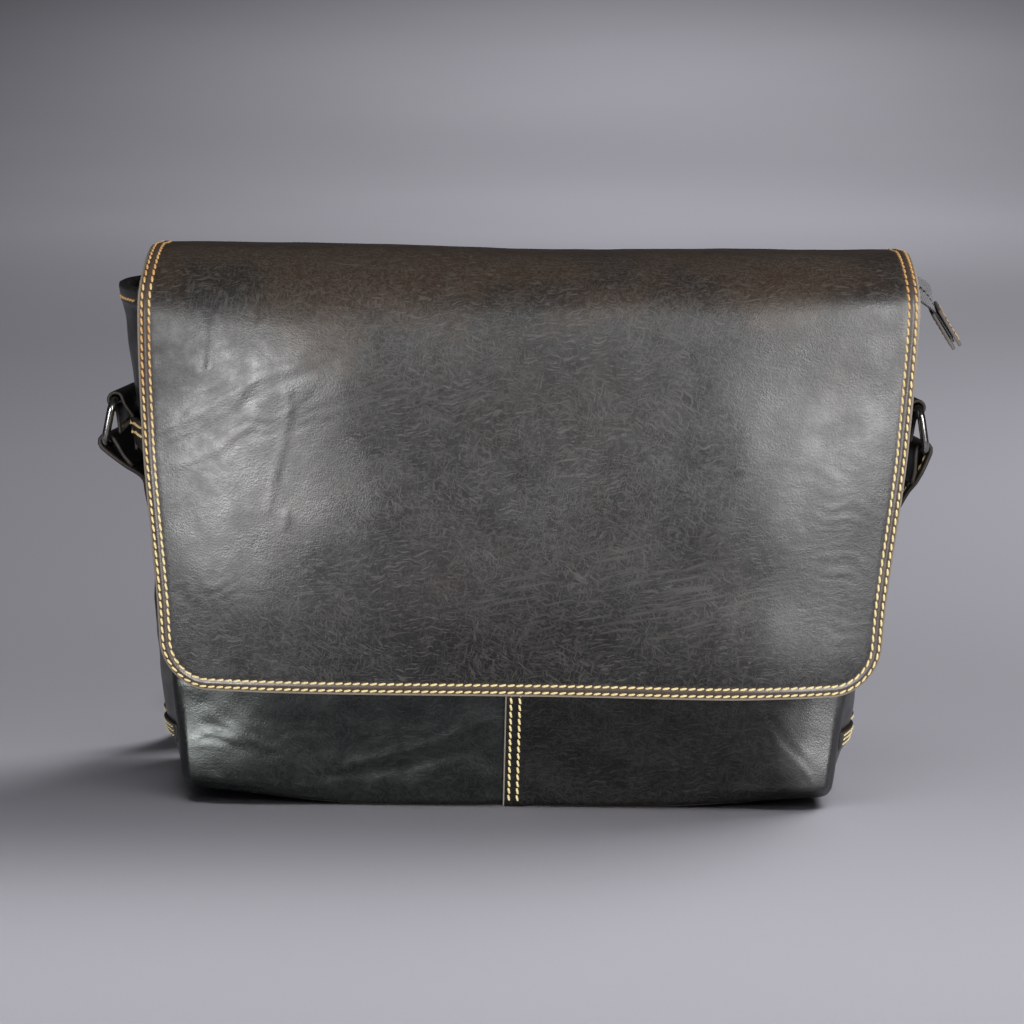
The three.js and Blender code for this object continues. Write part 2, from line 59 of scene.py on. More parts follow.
# Body, in millimetres
LEATHER = 2.2
SEAM_GAP = 0.4
LAY_GAP = 0.8
BASE_HALF = 160.5
WIDEN_PER_MM = 0.00064
LEAN_PER_MM = 0.0138
LEFT_CORNER_LIFT = 6.5
RIGHT_CORNER_LIFT = 4.5
LIFT_ACROSS = (60, 165)
LIFT_DEPTH = (-15, 35)
LIFT_HEIGHT = (0, 55)
CORNER_RADIUS = 4.8
EDGE_ROLL = 3.4
FRONT_TOP = 240.0
BACK_TOP = 252.0
GUSSET_TOP = 251.5
LAP_SEAM_HEIGHT = 185.0
BASE_SEAM_HEIGHT = 32.0
HEM_HEIGHT = 7.0
HEM_STITCHES = 5.0
HEM_EXTRA = 1.8
HEM_STAND = 0.5
HEM_GROOVE = 0.35
HEM_GROOVE_SPREAD = 0.9
UPPER_SINK = 0.4
CENTRE_SEAM_SPREAD = 14.0
BODY_SECTIONS = {
    "height": [0, 32, 60, 105, 150, 215, 270],
    "half_depth": [45, 46, 47, 47, 46, 42, 40],
    "front_bulge": [8, 9, 10.5, 11.5, 12, 8.6, 1],
    "seam_dip": [2.5, 2.5, 2.2, 1.5, 0.8, 0, 0],
    "gusset_bulge": [0, 9.5, 11.5, 9.8, 8, 9.8, 12.8],
    "gusset_fold": [0, 3, 4, 3.5, 2, 0, 0],
}
GUSSET_FOLD_AT = 0.38
GUSSET_FOLD_SPREAD = 0.11
LEFT_SLACK = 0.5
LEFT_SLACK_AT = 128.0
LEFT_SLACK_SPREAD = 36.0

# Flap, in millimetres
FLAP_SHIFT = 5.0
FLAP_TOP = 270.7
FLAP_TOP_SAG = 2.0
FLAP_HEM = 222.0
FLAP_BOTTOM = 58.0
FLAP_CORNER = 23.0
FLAP_SHOULDER = 34.0
FLAP_FRONT_BEND = 44.0
FLAP_BEND_RUN = 64.0
FLAP_TOP_RUN = 26.0
FLAP_REAR_BEND = 15.0
FLAP_REAR_DROP = 1.5
FLAP_DROP_FROM = -12.8
FLAP_BEND_EASE = 1.5
FLAP_GRID_HALF = 180.0
FLAP_WIDTHS = {
    "height": [58, 78, 105, 150, 180, 246, 270],
    "half": [175, 176.3, 178, 183, 185.8, 188.7, 186.5],
}

# Rings and their tabs, in millimetres
RING_WIRE = 4.0
RING_WIDTH = 50.0
RING_HEIGHT = 25.5
RING_CORNER = 5.0
RING_SIDES = 18
RING_BENDS = 12
RING_LEAN = math.radians(11)
RING_YAW = math.radians(9)
RING_TOP_BAR = (195.4, 2.0, 195.5)
RING_DROP = RING_HEIGHT - RING_WIRE
LOWER_BAR = (RING_DROP * math.sin(RING_LEAN), -RING_DROP * math.cos(RING_LEAN))
TAB_WIDTH = 36.0
TAB_THICKNESS = 1.6
TAB_INNER_END = 171.0
TAB_OUTER_END = 179.0
TAB_LEAVES_MEET = 188.0
TAB_OVER_LAP = 7.6
TAB_ROW_END = 3
TAB_ROW_INSET = 2.5

# Strap, in millimetres
STRAP_WIDTH = 38.0
STRAP_THICKNESS = 2.0
FLOOR_GAP = 0.1
STRAP_ON_EDGE = STRAP_WIDTH / 2 + FLOOR_GAP
# Stations of the strap's left half: place, then the direction of its width
STRAP_STATIONS = [
    (-189.6, 4, 158.5, 0.1, 1, 0),
    (-185.8, 9, 143, 0.08, 1, 0),
    (-183.2, 22, 119, 0.2, 0.97, 0.1),
    (-175, 46.5, 91, 0.62, 0.76, 0.1),
    (-165, 61, 63, 0.93, 0.35, 0.05),
    (-159, 68, 39, 1, 0, 0),
    (-157, 79, 17, 1, 0, 0),
    (-156, 98, 4, 1, 0, 0.05),
    (-155, 121, 7.2, 0.95, 0, 0.3),
    (-155, 143, 14.2, 0.72, 0, 0.69),
    (-154, 165, 18.2, 0.36, 0, 0.93),
    (-152, 186, STRAP_ON_EDGE, 0.08, 0, 1),
    (-146, 208, STRAP_ON_EDGE, 0, 0, 1),
    (-132, 226, STRAP_ON_EDGE, 0, 0, 1),
    (-100, 235, STRAP_ON_EDGE, 0, 0, 1),
    (-50, 238, STRAP_ON_EDGE, 0, 0, 1),
]
# How far each hanging end lies to the right of its stations
STRAP_SWAY = {-1: (5.1, 5.8, 6.2, 4), 1: (6.4, 3.7, 2.8, 2)}
STRAP_MIDDLE = (0, 239, STRAP_ON_EDGE, 0, 0, 1)
STRAP_SEWN_FROM = 60
STRAP_SEWN_TO = 30
STRAP_ROW = 3.0
STRAP_GROOVES = ((-0.25, STRAP_ROW, 0.8),)
STRAP_RIM_WEAR = 0.35
STRAP_WEAR_RUN = (0, 1.4)
STRAP_TAIL = [(17, 1.4), (11, 1.5), (5, 2.7)]

# Zip, in millimetres
TAPE_WIDTH = 13.5
TAPE_THICKNESS = 1.0
TAPE_RIM_HEIGHT = 237.0
TAPE_RIM_FROM = -168.0
TAPE_RIM_TO = 120.0
# Rows of the tape over the gusset: x, distance from the middle, z, and the width's y and z
TAPE_OVER_GUSSET = [
    (146, 36.6, 237.4, 0.05, 1),
    (162, 33, 239, 0.15, 1),
    (175, 22, 245, 0.55, 0.8),
    (184, 11, 254.6, 0.95, 0.2),
]
TAPE_SPREAD = 7.2
# The tape beyond the gusset: x, z and how far it is tilted towards the front there
ZIP_TAIL = [(192.6, 255.8, -18), (200.6, 251.6, -20), (206.4, 243.4, -6)]
ZIP_TAIL_ANGLE = math.radians(-57)
ZIP_TAIL_TILT = -4
ZIP_TAIL_INSIDE_TAB = 17.0
TAB_LENGTH = 20.0
TAB_HALF_WIDTH = 15.5
TAB_LEAF = 1.7
TAB_SLOT = 1.8
TAB_SEAM = 2.2
TOOTH_PITCH = 2.6
TOOTH_HALF_WIDTH = 1.0
TOOTH_LENGTH = 2.6
TOOTH_RADIUS = 0.85
TOOTH_SINK = 0.5
FIRST_TOOTH = {-1: 1.5, 1: 2.15}
TEETH_INSET = 0.2
TEETH_START = 3
TEETH_END = ZIP_TAIL_INSIDE_TAB + 1

# Sewing, in millimetres
FLAP_ROWS = (1.6, 5.1)
FLAP_PITCH = 4.2
SEAM_PITCH = 3.6
STRAP_PITCH = 4.6
END_TAB_PITCH = 2.8
THREAD = 0.62
BASE_THREAD = 0.45
END_TAB_THREAD = 0.3
THREAD_RINGS = 7
THREAD_SIDES = 6
THREAD_TAPER = 0.6
STITCH_SLANT = 0.4
STITCH_STAND = 0.3
STITCH_SINK = 1.5
EDGE_LINES = np.array([0, 0.5, 1.0, 1.6, 2.3, 3.1, 3.8, 4.4, 5.1, 5.9, 6.9, 8.2, 10, 12.4])


def add_object(name, data):
    item = bpy.data.objects.new(name, data)
    bpy.context.scene.collection.objects.link(item)
    return item


def aimed(at, aim, roll_deg):
    turn = (Vector(aim) - Vector(at)).to_track_quat("-Z", "Y").to_matrix().to_4x4()
    return Matrix.Translation(at) @ turn @ Matrix.Rotation(math.radians(roll_deg), 4, "Z")


def make_camera():
    data = bpy.data.cameras.new("camera")
    data.lens = CAMERA_LENS
    data.shift_x, data.shift_y = CAMERA_SHIFT
    camera = add_object("camera", data)
    camera.matrix_world = aimed(CAMERA_AT, CAMERA_AIM, CAMERA_ROLL_DEG)
    bpy.context.scene.camera = camera


# Body surfaces

def at_height(table, column, z):
    """A column of a table at heights between its rows, as a smooth curve through them."""
    height, value = np.array(table["height"], float), np.array(table[column], float)
    ends = np.arange(len(value))
    low, high = np.maximum(ends - 1, 0), np.minimum(ends + 1, len(value) - 1)
    slope = (value[high] - value[low]) / (height[high] - height[low])
    z = np.clip(z, height[0], height[-1])
    i = np.clip(np.searchsorted(height, z, side="right") - 1, 0, len(height) - 2)
    span = height[i + 1] - height[i]
    t = (z - height[i]) / span
    rise = t * t * (3 - 2 * t)
    bend = span * t * (1 - t) * (slope[i] * (1 - t) - slope[i + 1] * t)
    return value[i] * (1 - rise) + value[i + 1] * rise + bend


def body(column, z):
    return at_height(BODY_SECTIONS, column, z)


def widen(z):
    return 1 + WIDEN_PER_MM * z


def front_face(x, z, seam=1.0):
    """The front's outer face; x is at floor width, and seam says how much of the centre dip shows."""
    across = 1 - (x / BASE_HALF) ** 4
    dip = seam * body("seam_dip", z) * np.exp(-((x / CENTRE_SEAM_SPREAD) ** 2))
    return dip - body("half_depth", z) - body("front_bulge", z) * across


def rounded(grid_x, grid_z, half, radius):
    """Where a square grid's points go when its lower corners are rounded, and the way out there."""
    sign = np.sign(grid_x)
    past = np.maximum(0, np.abs(grid_x) - (half - radius))
    below = np.maximum(0, radius - grid_z)
    reach = np.maximum(past, below)
    corner = (past > 0) & (below > 0)
    upper, lower = below / np.maximum(past, TINY), 2 - past / np.maximum(below, TINY)
    eighths = np.where(below <= past, upper, lower)
    turn = np.where(corner, eighths, np.where(past >= below, 0, 2)) * math.pi / 4
    out_x, out_z = sign * np.cos(turn), -np.sin(turn)
    x = np.where(corner, sign * (half - radius) + out_x * reach, grid_x)
    z = np.where(corner, radius + out_z * reach, grid_z)
    return x, z, reach


def outline(run):
    """The body's outline from the front at floor width: points and the way out, by distance."""
    straight, corner = BASE_HALF - CORNER_RADIUS, CORNER_RADIUS * math.pi / 2
    side, far = np.sign(run), np.abs(run)
    turn = np.clip((far - straight) / CORNER_RADIUS, 0, math.pi / 2)
    out_x, out_z = side * np.sin(turn), -np.cos(turn)
    x = side * (np.minimum(far, straight) + CORNER_RADIUS * np.sin(turn))
    z = CORNER_RADIUS * (1 - np.cos(turn)) + np.maximum(0, far - straight - corner)
    return x, z, out_x, out_z


def run_to_height(z):
    return BASE_HALF - CORNER_RADIUS + CORNER_RADIUS * math.pi / 2 + z - CORNER_RADIUS


# Soft relief

SWELL_WAVES = 14
WRINKLE_WANDER = (2.4, 30)


def swell(p, q, *parts):
    """A smooth random surface: each part has about this height, this wavelength and a seed."""
    total = 0
    for height, wavelength, seed in parts:
        share_of_one = height / math.sqrt(SWELL_WAVES / 2)
        for turn, phase, share in np.random.default_rng(seed).random((SWELL_WAVES, 3)):
            pace = 2 * math.pi / (wavelength * (0.7 + 0.8 * share))
            turn, phase = 2 * math.pi * turn, 2 * math.pi * phase
            total = total + share_of_one * np.sin(pace * (p * math.cos(turn) + q * math.sin(turn)) + phase)
    return total


def to_line(x, z, path):
    """Distance from points to the line through a path's corners."""
    best = np.full(np.shape(x), FAR)
    for (ax, az), (bx, bz) in zip(path, path[1:]):
        dx, dz = bx - ax, bz - az
        share = np.clip(((x - ax) * dx + (z - az) * dz) / (dx * dx + dz * dz), 0, 1)
        best = np.minimum(best, np.hypot(x - ax - share * dx, z - az - share * dz))
    return best


def creased(x, z, creases, wrinkles, seed):
    """Creases along paths, and patches of fine parallel wrinkles."""
    total = np.zeros(np.shape(x))
    for height, width, path in creases:
        total += height * np.exp(-((to_line(x, z, path) / width) ** 2))
    wander = swell(x, z, (*WRINKLE_WANDER, seed))
    for at_x, at_z, wide, tall, turn_deg, wavelength, height in wrinkles:
        turn = math.radians(turn_deg)
        over = (z - at_z) * math.cos(turn) - (x - at_x) * math.sin(turn)
        patch = np.exp(-(((x - at_x) / wide) ** 2) - ((z - at_z) / tall) ** 2)
        total += height * patch * np.sin(2 * math.pi * over / wavelength + wander)
    return total


def bump(value, middle, spread):
    return np.exp(-(((value - middle) / spread) ** 2))


def filled(x, z, parts):
    """Soft bulges: middle, spread and height."""
    return sum(h * bump(x, at_x, wide) * bump(z, at_z, tall) for at_x, at_z, wide, tall, h in parts)


def grooved(value, parts):
    """Grooves and ridges along an edge or a seam: height, distance and spread."""
    return sum(height * bump(value, at, spread) for height, at, spread in parts)


def ease(value, low, high):
    t = np.clip((value - low) / (high - low), 0, 1)
    return t * t * (3 - 2 * t)


def within(value, start, full, fade, end):
    """1 from full to fade, easing to 0 at start and end."""
    return ease(value, start, full) * (1 - ease(value, fade, end))


# Meshes

def add_mesh(name, points, faces, materials, slots=None, edge=None, uv=None):
    x, y, z = points.T
    lift = np.where(x < 0, LEFT_CORNER_LIFT, RIGHT_CORNER_LIFT) * ease(np.abs(x), *LIFT_ACROSS)
    z = np.maximum(0, z + lift * (1 - ease(y, *LIFT_DEPTH)) * (1 - ease(z, *LIFT_HEIGHT)))
    leaning = np.stack([x + LEAN_PER_MM * z, y, z], 1) * MM
    mesh = bpy.data.meshes.new(name)
    mesh.from_pydata(leaning.tolist(), [], faces)
    shape = bmesh.new()
    shape.from_mesh(mesh)
    bmesh.ops.recalc_face_normals(shape, faces=shape.faces)
    shape.to_mesh(mesh)
    shape.free()
    mesh.polygons.foreach_set("use_smooth", np.ones(len(mesh.polygons), bool))
    if slots is not None:
        mesh.polygons.foreach_set("material_index", np.asarray(slots, np.int32))
    if edge is not None:
        field = mesh.attributes.new("edge", "FLOAT", "POINT")
        field.data.foreach_set("value", np.asarray(edge, np.float32))
    if uv is not None:
        corner = np.empty(len(mesh.loops), np.int32)
        mesh.loops.foreach_get("vertex_index", corner)
        mesh.uv_layers.new(name="flat").data.foreach_set("uv", uv[corner].astype(np.float32).ravel())
    for material in materials:
        mesh.materials.append(material)
    piece = add_object(name, mesh)
    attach(piece, BODY)
    return piece


def grid_quads(rows, columns):
    first = (np.arange(rows - 1)[:, None] * columns + np.arange(columns - 1)).ravel()
    return np.stack([first, first + columns, first + columns + 1, first + 1], 1)


def unit(vectors):
    return vectors / (np.linalg.norm(vectors, axis=-1, keepdims=True) + TINY)


def run_along(line):
    """Distances of a line's points from its start."""
    return np.concatenate([[0], np.cumsum(np.linalg.norm(np.diff(line, axis=0), axis=1))])


def sampled(where, run, values):
    """Vectors along a line, at distances between its points."""
    return np.stack([np.interp(where, run, values[:, k]) for k in range(3)], -1)


class Patch:
    """A sheet on a grid of lines across and along, with its outer and inner faces."""

    def __init__(self, across, along, face, thickness, facing, relief=0.0, edge=None):
        self.across, self.along = across, along
        self.normal = facing * unit(np.cross(np.gradient(face, axis=0), np.gradient(face, axis=1)))
        self.outer = face + np.broadcast_to(relief, face.shape[:2])[..., None] * self.normal
        self.inner = self.outer - np.broadcast_to(thickness, face.shape[:2])[..., None] * self.normal
        self.edge = np.full(face.shape[:2], FAR_FROM_EDGE) if edge is None else edge

    def at(self, across, along):
        """Points and normals of the outer face between the grid's lines."""
        j = np.clip(np.searchsorted(self.across, across) - 1, 0, len(self.across) - 2)
        i = np.clip(np.searchsorted(self.along, along) - 1, 0, len(self.along) - 2)
        s = ((across - self.across[j]) / (self.across[j + 1] - self.across[j]))[:, None]
        t = ((along - self.along[i]) / (self.along[i + 1] - self.along[i]))[:, None]
        row = lambda grid, i: grid[i, j] * (1 - s) + grid[i, j + 1] * s
        mix = lambda grid: row(grid, i) * (1 - t) + row(grid, i + 1) * t
        return mix(self.outer), mix(self.normal)

    def track(self, corners, step=0.7):
        """Points and normals along straight lines between corners (across, along) on the grid."""
        lines = []
        for a, b in zip(corners, corners[1:]):
            count = max(2, int(math.dist(a, b) / step))
            lines.append(np.linspace(a, b, count, endpoint=False))
        path = np.concatenate([*lines, [corners[-1]]])
        return self.at(path[:, 0], path[:, 1])


def shell(node, patch, materials, rim=(1, 1, 1, 1), roundness=0.3, kind="sheet"):
    """A closed sheet from a patch, in place of a node. Materials are the face's, the cut edge's and
    the inside's; rim chooses one of them for the first row, last column, last row and first column."""
    rows, columns = patch.outer.shape[:2]
    count = rows * columns
    outer, inner = patch.outer.reshape(-1, 3), patch.inner.reshape(-1, 3)
    top = [(0, j) for j in range(columns - 1)]
    right = [(i, columns - 1) for i in range(rows - 1)]
    bottom = [(rows - 1, j) for j in range(columns - 1, 0, -1)]
    left = [(i, 0) for i in range(rows - 1, 0, -1)]
    border = np.array(top + right + bottom + left)
    sides = np.repeat(np.array(rim), [len(top), len(right), len(bottom), len(left)])
    inside = np.clip(border, 1, (rows - 2, columns - 2)) @ (columns, 1)
    border = border @ (columns, 1)
    through = inner[border] - outer[border]
    depth = np.linalg.norm(through, axis=1, keepdims=True)
    way = outer[border] - outer[inside]
    way = unit(way - through * (way * through).sum(1, keepdims=True) / depth**2) * depth * roundness
    rings = [outer[border] + through * share + way * out for share, out in RIM_STEPS]
    quads = grid_quads(rows, columns)
    ring_at = [2 * count + k * len(border) + np.arange(len(border)) for k in range(len(rings))]
    loops = [border, *ring_at, border + count]
    bands = [np.stack([a, b, np.roll(b, -1), np.roll(a, -1)], 1) for a, b in zip(loops, loops[1:])]
    faces = np.concatenate([quads, quads[:, ::-1] + count, *bands])
    slots = np.concatenate([np.zeros(len(quads)), np.full(len(quads), 2), *[sides] * len(bands)])
    flat = np.stack(np.meshgrid(patch.across, patch.along), 2).reshape(-1, 2) * MM
    spread = lambda values: np.concatenate([values, values, *[values[border]] * len(rings)])
    edge = spread(patch.edge.ravel())
    points = np.concatenate([outer, inner, *rings])
    piece = add_mesh(f"{node}_{kind}", points, faces.tolist(), materials, slots, edge, spread(flat))
    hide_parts(node)
    return piece


def capsules(tracks):
    """Short rounded lengths along tracks: each track has points, normals, pitch, length, radius,
    slant, and how far the middle stands out and the ends sink, in radii."""
    points, quads, caps = [], [], []
    count = 0
    t = np.linspace(-1, 1, THREAD_RINGS)
    turn = np.arange(THREAD_SIDES) * 2 * math.pi / THREAD_SIDES
    ring = np.arange(THREAD_SIDES)
    size = THREAD_RINGS * THREAD_SIDES
    a = np.arange(THREAD_RINGS - 1)[:, None] * THREAD_SIDES + ring
    b = np.arange(THREAD_RINGS - 1)[:, None] * THREAD_SIDES + np.roll(ring, -1)
    one = np.stack([a, b, b + THREAD_SIDES, a + THREAD_SIDES], 2).reshape(-1, 4)
    ends = np.stack([ring[::-1], size - THREAD_SIDES + ring])
    for (line, normal), pitch, length, radius, slant, stand, sink in tracks:
        run = run_along(line)
        number = max(1, round(run[-1] / pitch))
        where = ((np.arange(number) + 0.5) * run[-1] / number)[:, None] + t * length / 2
        tangent = unit(np.gradient(line, axis=0))
        centre, out, ahead = (sampled(where, run, values) for values in (line, normal, tangent))
        side = np.cross(out, ahead)
        centre = centre + out * (radius * (stand - sink * t**4))[:, None] + side * (slant * t)[:, None]
        thick = radius * np.sqrt(1 - THREAD_TAPER * t**2)
        round_ = np.cos(turn)[:, None] * side[:, :, None] + np.sin(turn)[:, None] * out[:, :, None]
        points.append((centre[:, :, None] + thick[:, None, None] * round_).reshape(-1, 3))
        starts = count + np.arange(number) * size
        quads.append((starts[:, None, None] + one).reshape(-1, 4))
        caps.append((starts[:, None, None] + ends).reshape(-1, THREAD_SIDES))
        count += number * size
    return np.concatenate(points), np.concatenate(quads).tolist() + np.concatenate(caps).tolist()


def stitching(name, rows, pitch, radius=THREAD):
    """Sewn rows: each is a track's points and normals."""
    tracks = [(row, pitch, pitch, radius, STITCH_SLANT, STITCH_STAND, STITCH_SINK) for row in rows]
    points, faces = capsules(tracks)
    return add_mesh(name, points, faces, [look["thread"]])


# Materials

class Graph:
    """A Principled material and short calls to add nodes to it."""

    def __init__(self, name, **sockets):
        self.material = bpy.data.materials.new(name)
        self.material.use_nodes = True
        self.tree = self.material.node_tree
        self.shader = self.tree.nodes["Principled BSDF"]
        for key, value in sockets.items():
            self.put(self.shader.inputs[key.replace("_", " ")], value)
        self.place = self.add("TexCoord").outputs["Object"]

    def put(self, socket, value):
        if isinstance(value, bpy.types.NodeSocket):
            self.tree.links.new(value, socket)
        else:
            socket.default_value = value

    def add(self, kind, inputs=(), **settings):
        node = self.tree.nodes.new("ShaderNode" + kind)
        for key, value in settings.items():
            setattr(node, key, value)
        for key, value in dict(inputs).items():
            self.put(node.inputs[key], value)
        return node

    def noise(self, size_mm, detail=3.0, rough=0.55, place=None, output="Fac"):
        values = {"Vector": place or self.place, "Scale": PER_METRE / size_mm}
        node = self.add("TexNoise", {**values, "Detail": detail, "Roughness": rough})
        return node.outputs[output]

    def wavy(self, size_mm, reach_mm):
        """Places pushed about, so that what is drawn there wanders."""
        push = (reach_mm * MM,) * 3
        values = {0: self.noise(size_mm, 2, output="Color"), 1: push, 2: self.place}
        return self.add("VectorMath", values, operation="MULTIPLY_ADD").outputs[0]

    def stretched(self, scale, turn_deg, place=None):
        """Places drawn out along x, y and z, then turned about y."""
        turn = (0, math.radians(-turn_deg), 0)
        values = {"Vector": place or self.place, "Scale": scale, "Rotation": turn}
        return self.add("Mapping", values, vector_type="TEXTURE").outputs["Vector"]

    def streaks(self, size_mm, stretch, turn_deg, place):
        """Short fine lines, all in about one direction."""
        drawn_out = self.stretched((stretch, 1.5, 1), turn_deg, place)
        return self.span(self.noise(size_mm, 3, 0.5, drawn_out), 0.5, 0.68)

    def strands(self, size_mm, width, scale, turn_deg):
        """Long wandering lines, drawn out in one direction."""
        value = self.noise(size_mm, 2, 0.55, self.stretched(scale, turn_deg))
        return self.span(self.math("ABSOLUTE", self.math("SUBTRACT", value, 0.5)), 0.0, width, 1.0, 0.0)

    def spot(self, x, z, wide, tall):
        """A soft oval about a place on the front, in millimetres."""
        scale = (PER_METRE / wide, 0, PER_METRE / tall)
        values = {"Vector": self.place, "Location": (-x / wide, 0, -z / tall), "Scale": scale}
        place = self.add("Mapping", values).outputs["Vector"]
        away = self.add("VectorMath", {0: place}, operation="LENGTH").outputs["Value"]
        return self.span(away, 0.3, 1.0, 1.0, 0.0)

    def cells(self, size_mm):
        values = {"Vector": self.place, "Scale": PER_METRE / size_mm}
        return self.add("TexVoronoi", values).outputs["Distance"]

    def span(self, value, low, high, to_low=0.0, to_high=1.0):
        values = {"Value": value, "From Min": low, "From Max": high}
        values.update({"To Min": to_low, "To Max": to_high})
        return self.add("MapRange", values, interpolation_type="SMOOTHSTEP").outputs["Result"]

    def math(self, operation, a, b=0.0):
        return self.add("Math", {0: a, 1: b}, operation=operation).outputs[0]

    def mix(self, share, a, b):
        return self.add("Mix", {0: share, 6: a, 7: b}, data_type="RGBA").outputs[2]

    def height(self, value, depth_mm, strength=1.0, under=None):
        values = {"Height": value, "Distance": depth_mm * MM, "Strength": strength}
        node = self.add("Bump", values)
        if under is not None:
            self.put(node.inputs["Normal"], under)
        return node.outputs["Normal"]

    def paint(self, colour, roughness, normal):
        self.put(self.shader.inputs["Base Color"], colour)
        self.put(self.shader.inputs["Roughness"], roughness)
        self.put(self.shader.inputs["Normal"], normal)
        return self.material


def srgb(r, g, b):
    linear = lambda c: (c / 255 / 12.92) if c <= 10 else ((c / 255 + 0.055) / 1.055) ** 2.4
    return (linear(r), linear(g), linear(b), 1.0)


# Where the flap's leather is drawn into fine folds: place, spread, direction and strength
FINE_FOLDS = [
    (-136, 240, 50, 46, 88, 0.8),
    (-128, 196, 62, 36, 27, 1.2),
    (-40, 205, 80, 26, 22, 0.6),
    (160, 118, 40, 56, -8, 0.7),
    (-148, 108, 42, 16, 3, 0.7),
    (60, 110, 150, 46, 12, 0.8),
    (70, 252, 110, 26, 66, 0.6),
    (-70, 254, 76, 24, 82, 0.7),
]
# Where leather is duller, or with a share below zero shinier: place, spread and share
FLAP_DULL = [
    (15, 62, 160, 62, 0.5),
    (-178, 226, 58, 60, 0.7),
    (10, 160, 120, 130, 0.22),
    (-20, 216, 110, 56, 0.2),
]
RIGHT_DULL = [(158, 34, 30, 46, -3.4)]
# Fine pale lines: size, direction, and strength where the leather is whole and where it is broken
FIBRES = ((0.85, 6, 0.4, 1.0), (0.8, -32, 0.9, 0.3), (0.75, 78, 0.8, 0.4))
SOOT = (0.003, 0.003, 0.0035, 1)
# Painted shade: near black, mixed into the leather towards the bottom
LOW_PAINTED_SHADE = (0.003, 0.003, 0.003, 1)
# The flap's top band: partly the leather's brown tone, partly painted shade over the bend
TOP_BROWN_AND_SHADE = srgb(50, 38, 28)
SEWN_RIM = srgb(70, 58, 50)
RAW_RIM = srgb(132, 120, 106)
WHITE = (1, 1, 1, 1)


def leather(name, dark, warm, vein, veins, rough, shine=0.8, front=False, sheen=WHITE, dull=()):
    """Waxed leather: mottled, with fine pale veins where it has been pulled, and a pebbled grain."""
    g = Graph(name, Specular_IOR_Level=shine, Specular_Tint=sheen, Coat_Weight=shine * 0.25)
    up = g.add("SeparateXYZ", {0: g.place}).outputs["Z"]
    broad = g.noise(60, 3)
    mottle = g.noise(14, 5, 0.62)
    fine = g.noise(1.5, 4, 0.65)
    broken = g.noise(34, 3, 0.6)
    pull = g.math("MULTIPLY", g.strands(11, 0.014, (2.6, 1.5, 1), 12), 0.5)
    waves = g.wavy(16, 11)
    for size_mm, turn, low, high in FIBRES:
        strength = g.span(broken, 0.36, 0.64, low, high)
        pull = g.math("MAXIMUM", pull, g.math("MULTIPLY", g.streaks(size_mm, 11, turn, waves), strength))
    if front:
        gentle = g.wavy(50, 9)
        for x, z, wide, tall, turn, strength in FINE_FOLDS:
            fold = g.math("MULTIPLY", g.streaks(1.5, 16, turn, gentle), g.spot(x, z, wide, tall))
            pull = g.math("MAXIMUM", pull, g.math("MULTIPLY", fold, strength))
    tint = g.mix(g.span(broad, 0.42, 0.72), dark, warm)
    worn = g.math("ADD", mottle, g.math("SUBTRACT", fine, 0.5))
    tint = g.mix(g.span(worn, 0.25, 0.8, 0.0, 0.8), tint, SOOT)
    # Painted shade: the leather darkens towards the bottom, most below 65 mm and fading out by 120 mm
    tint = g.mix(g.span(up, 0.065, 0.12, 0.8, 0.0), tint, LOW_PAINTED_SHADE)
    if front:
        rising = g.math("ADD", up, g.span(broad, 0.2, 0.8, -0.03, 0.03))
        # Brown tone and painted shade: the flap's top band over the bend is darker and browner
        tint = g.mix(g.span(rising, 0.22, 0.268, 0.0, 0.85), tint, TOP_BROWN_AND_SHADE)
    colour = g.mix(g.math("MULTIPLY", pull, veins), tint, vein)
    gloss = g.span(mottle, 0.25, 0.75, rough - 0.06, rough + 0.08)
    gloss = g.math("ADD", gloss, g.math("MULTIPLY", pull, 0.05))
    if front:
        edge = g.add("Attribute", attribute_name="edge").outputs["Fac"]
        colour = g.mix(g.span(edge, 4.8, 7.2, 0.8, 0.0), colour, SEWN_RIM)
        colour = g.mix(g.span(edge, 0.2, 1.0, 0.8, 0.0), colour, RAW_RIM)
        gloss = g.math("ADD", gloss, g.span(rising, 0.2, 0.27, 0.0, 0.08))
    g.put(g.shader.inputs["Coat Roughness"], gloss)
    level = shine
    for x, z, wide, tall, share in dull:
        level = g.math("SUBTRACT", level, g.math("MULTIPLY", g.spot(x, z, wide, tall), share * shine))
    g.put(g.shader.inputs["Specular IOR Level"], level)
    grain = g.math("ADD", g.cells(0.9), g.math("MULTIPLY", fine, 0.8))
    along = g.noise(6, 3, 0.5, g.stretched((2.5, 1, 0.9), 9))
    normal = g.height(along, 0.35, 0.13)
    normal = g.height(pull, 0.07, 0.25, normal)
    normal = g.height(grain, 0.1, 0.4, normal)
    return g.paint(colour, gloss, normal)


def plain_look(name, dark, pale, size_mm, rough, depth_mm, **sockets):
    """A speckled finish with a fine uneven surface."""
    g = Graph(name, **sockets)
    speck = g.noise(size_mm, 5, 0.65)
    broad = g.noise(size_mm * 14, 3)
    colour = g.mix(g.math("MULTIPLY", g.math("ADD", speck, broad), 0.5), dark, pale)
    roughness = g.span(speck, 0.2, 0.8, rough - 0.08, rough + 0.08)
    return g.paint(colour, roughness, g.height(speck, depth_mm))


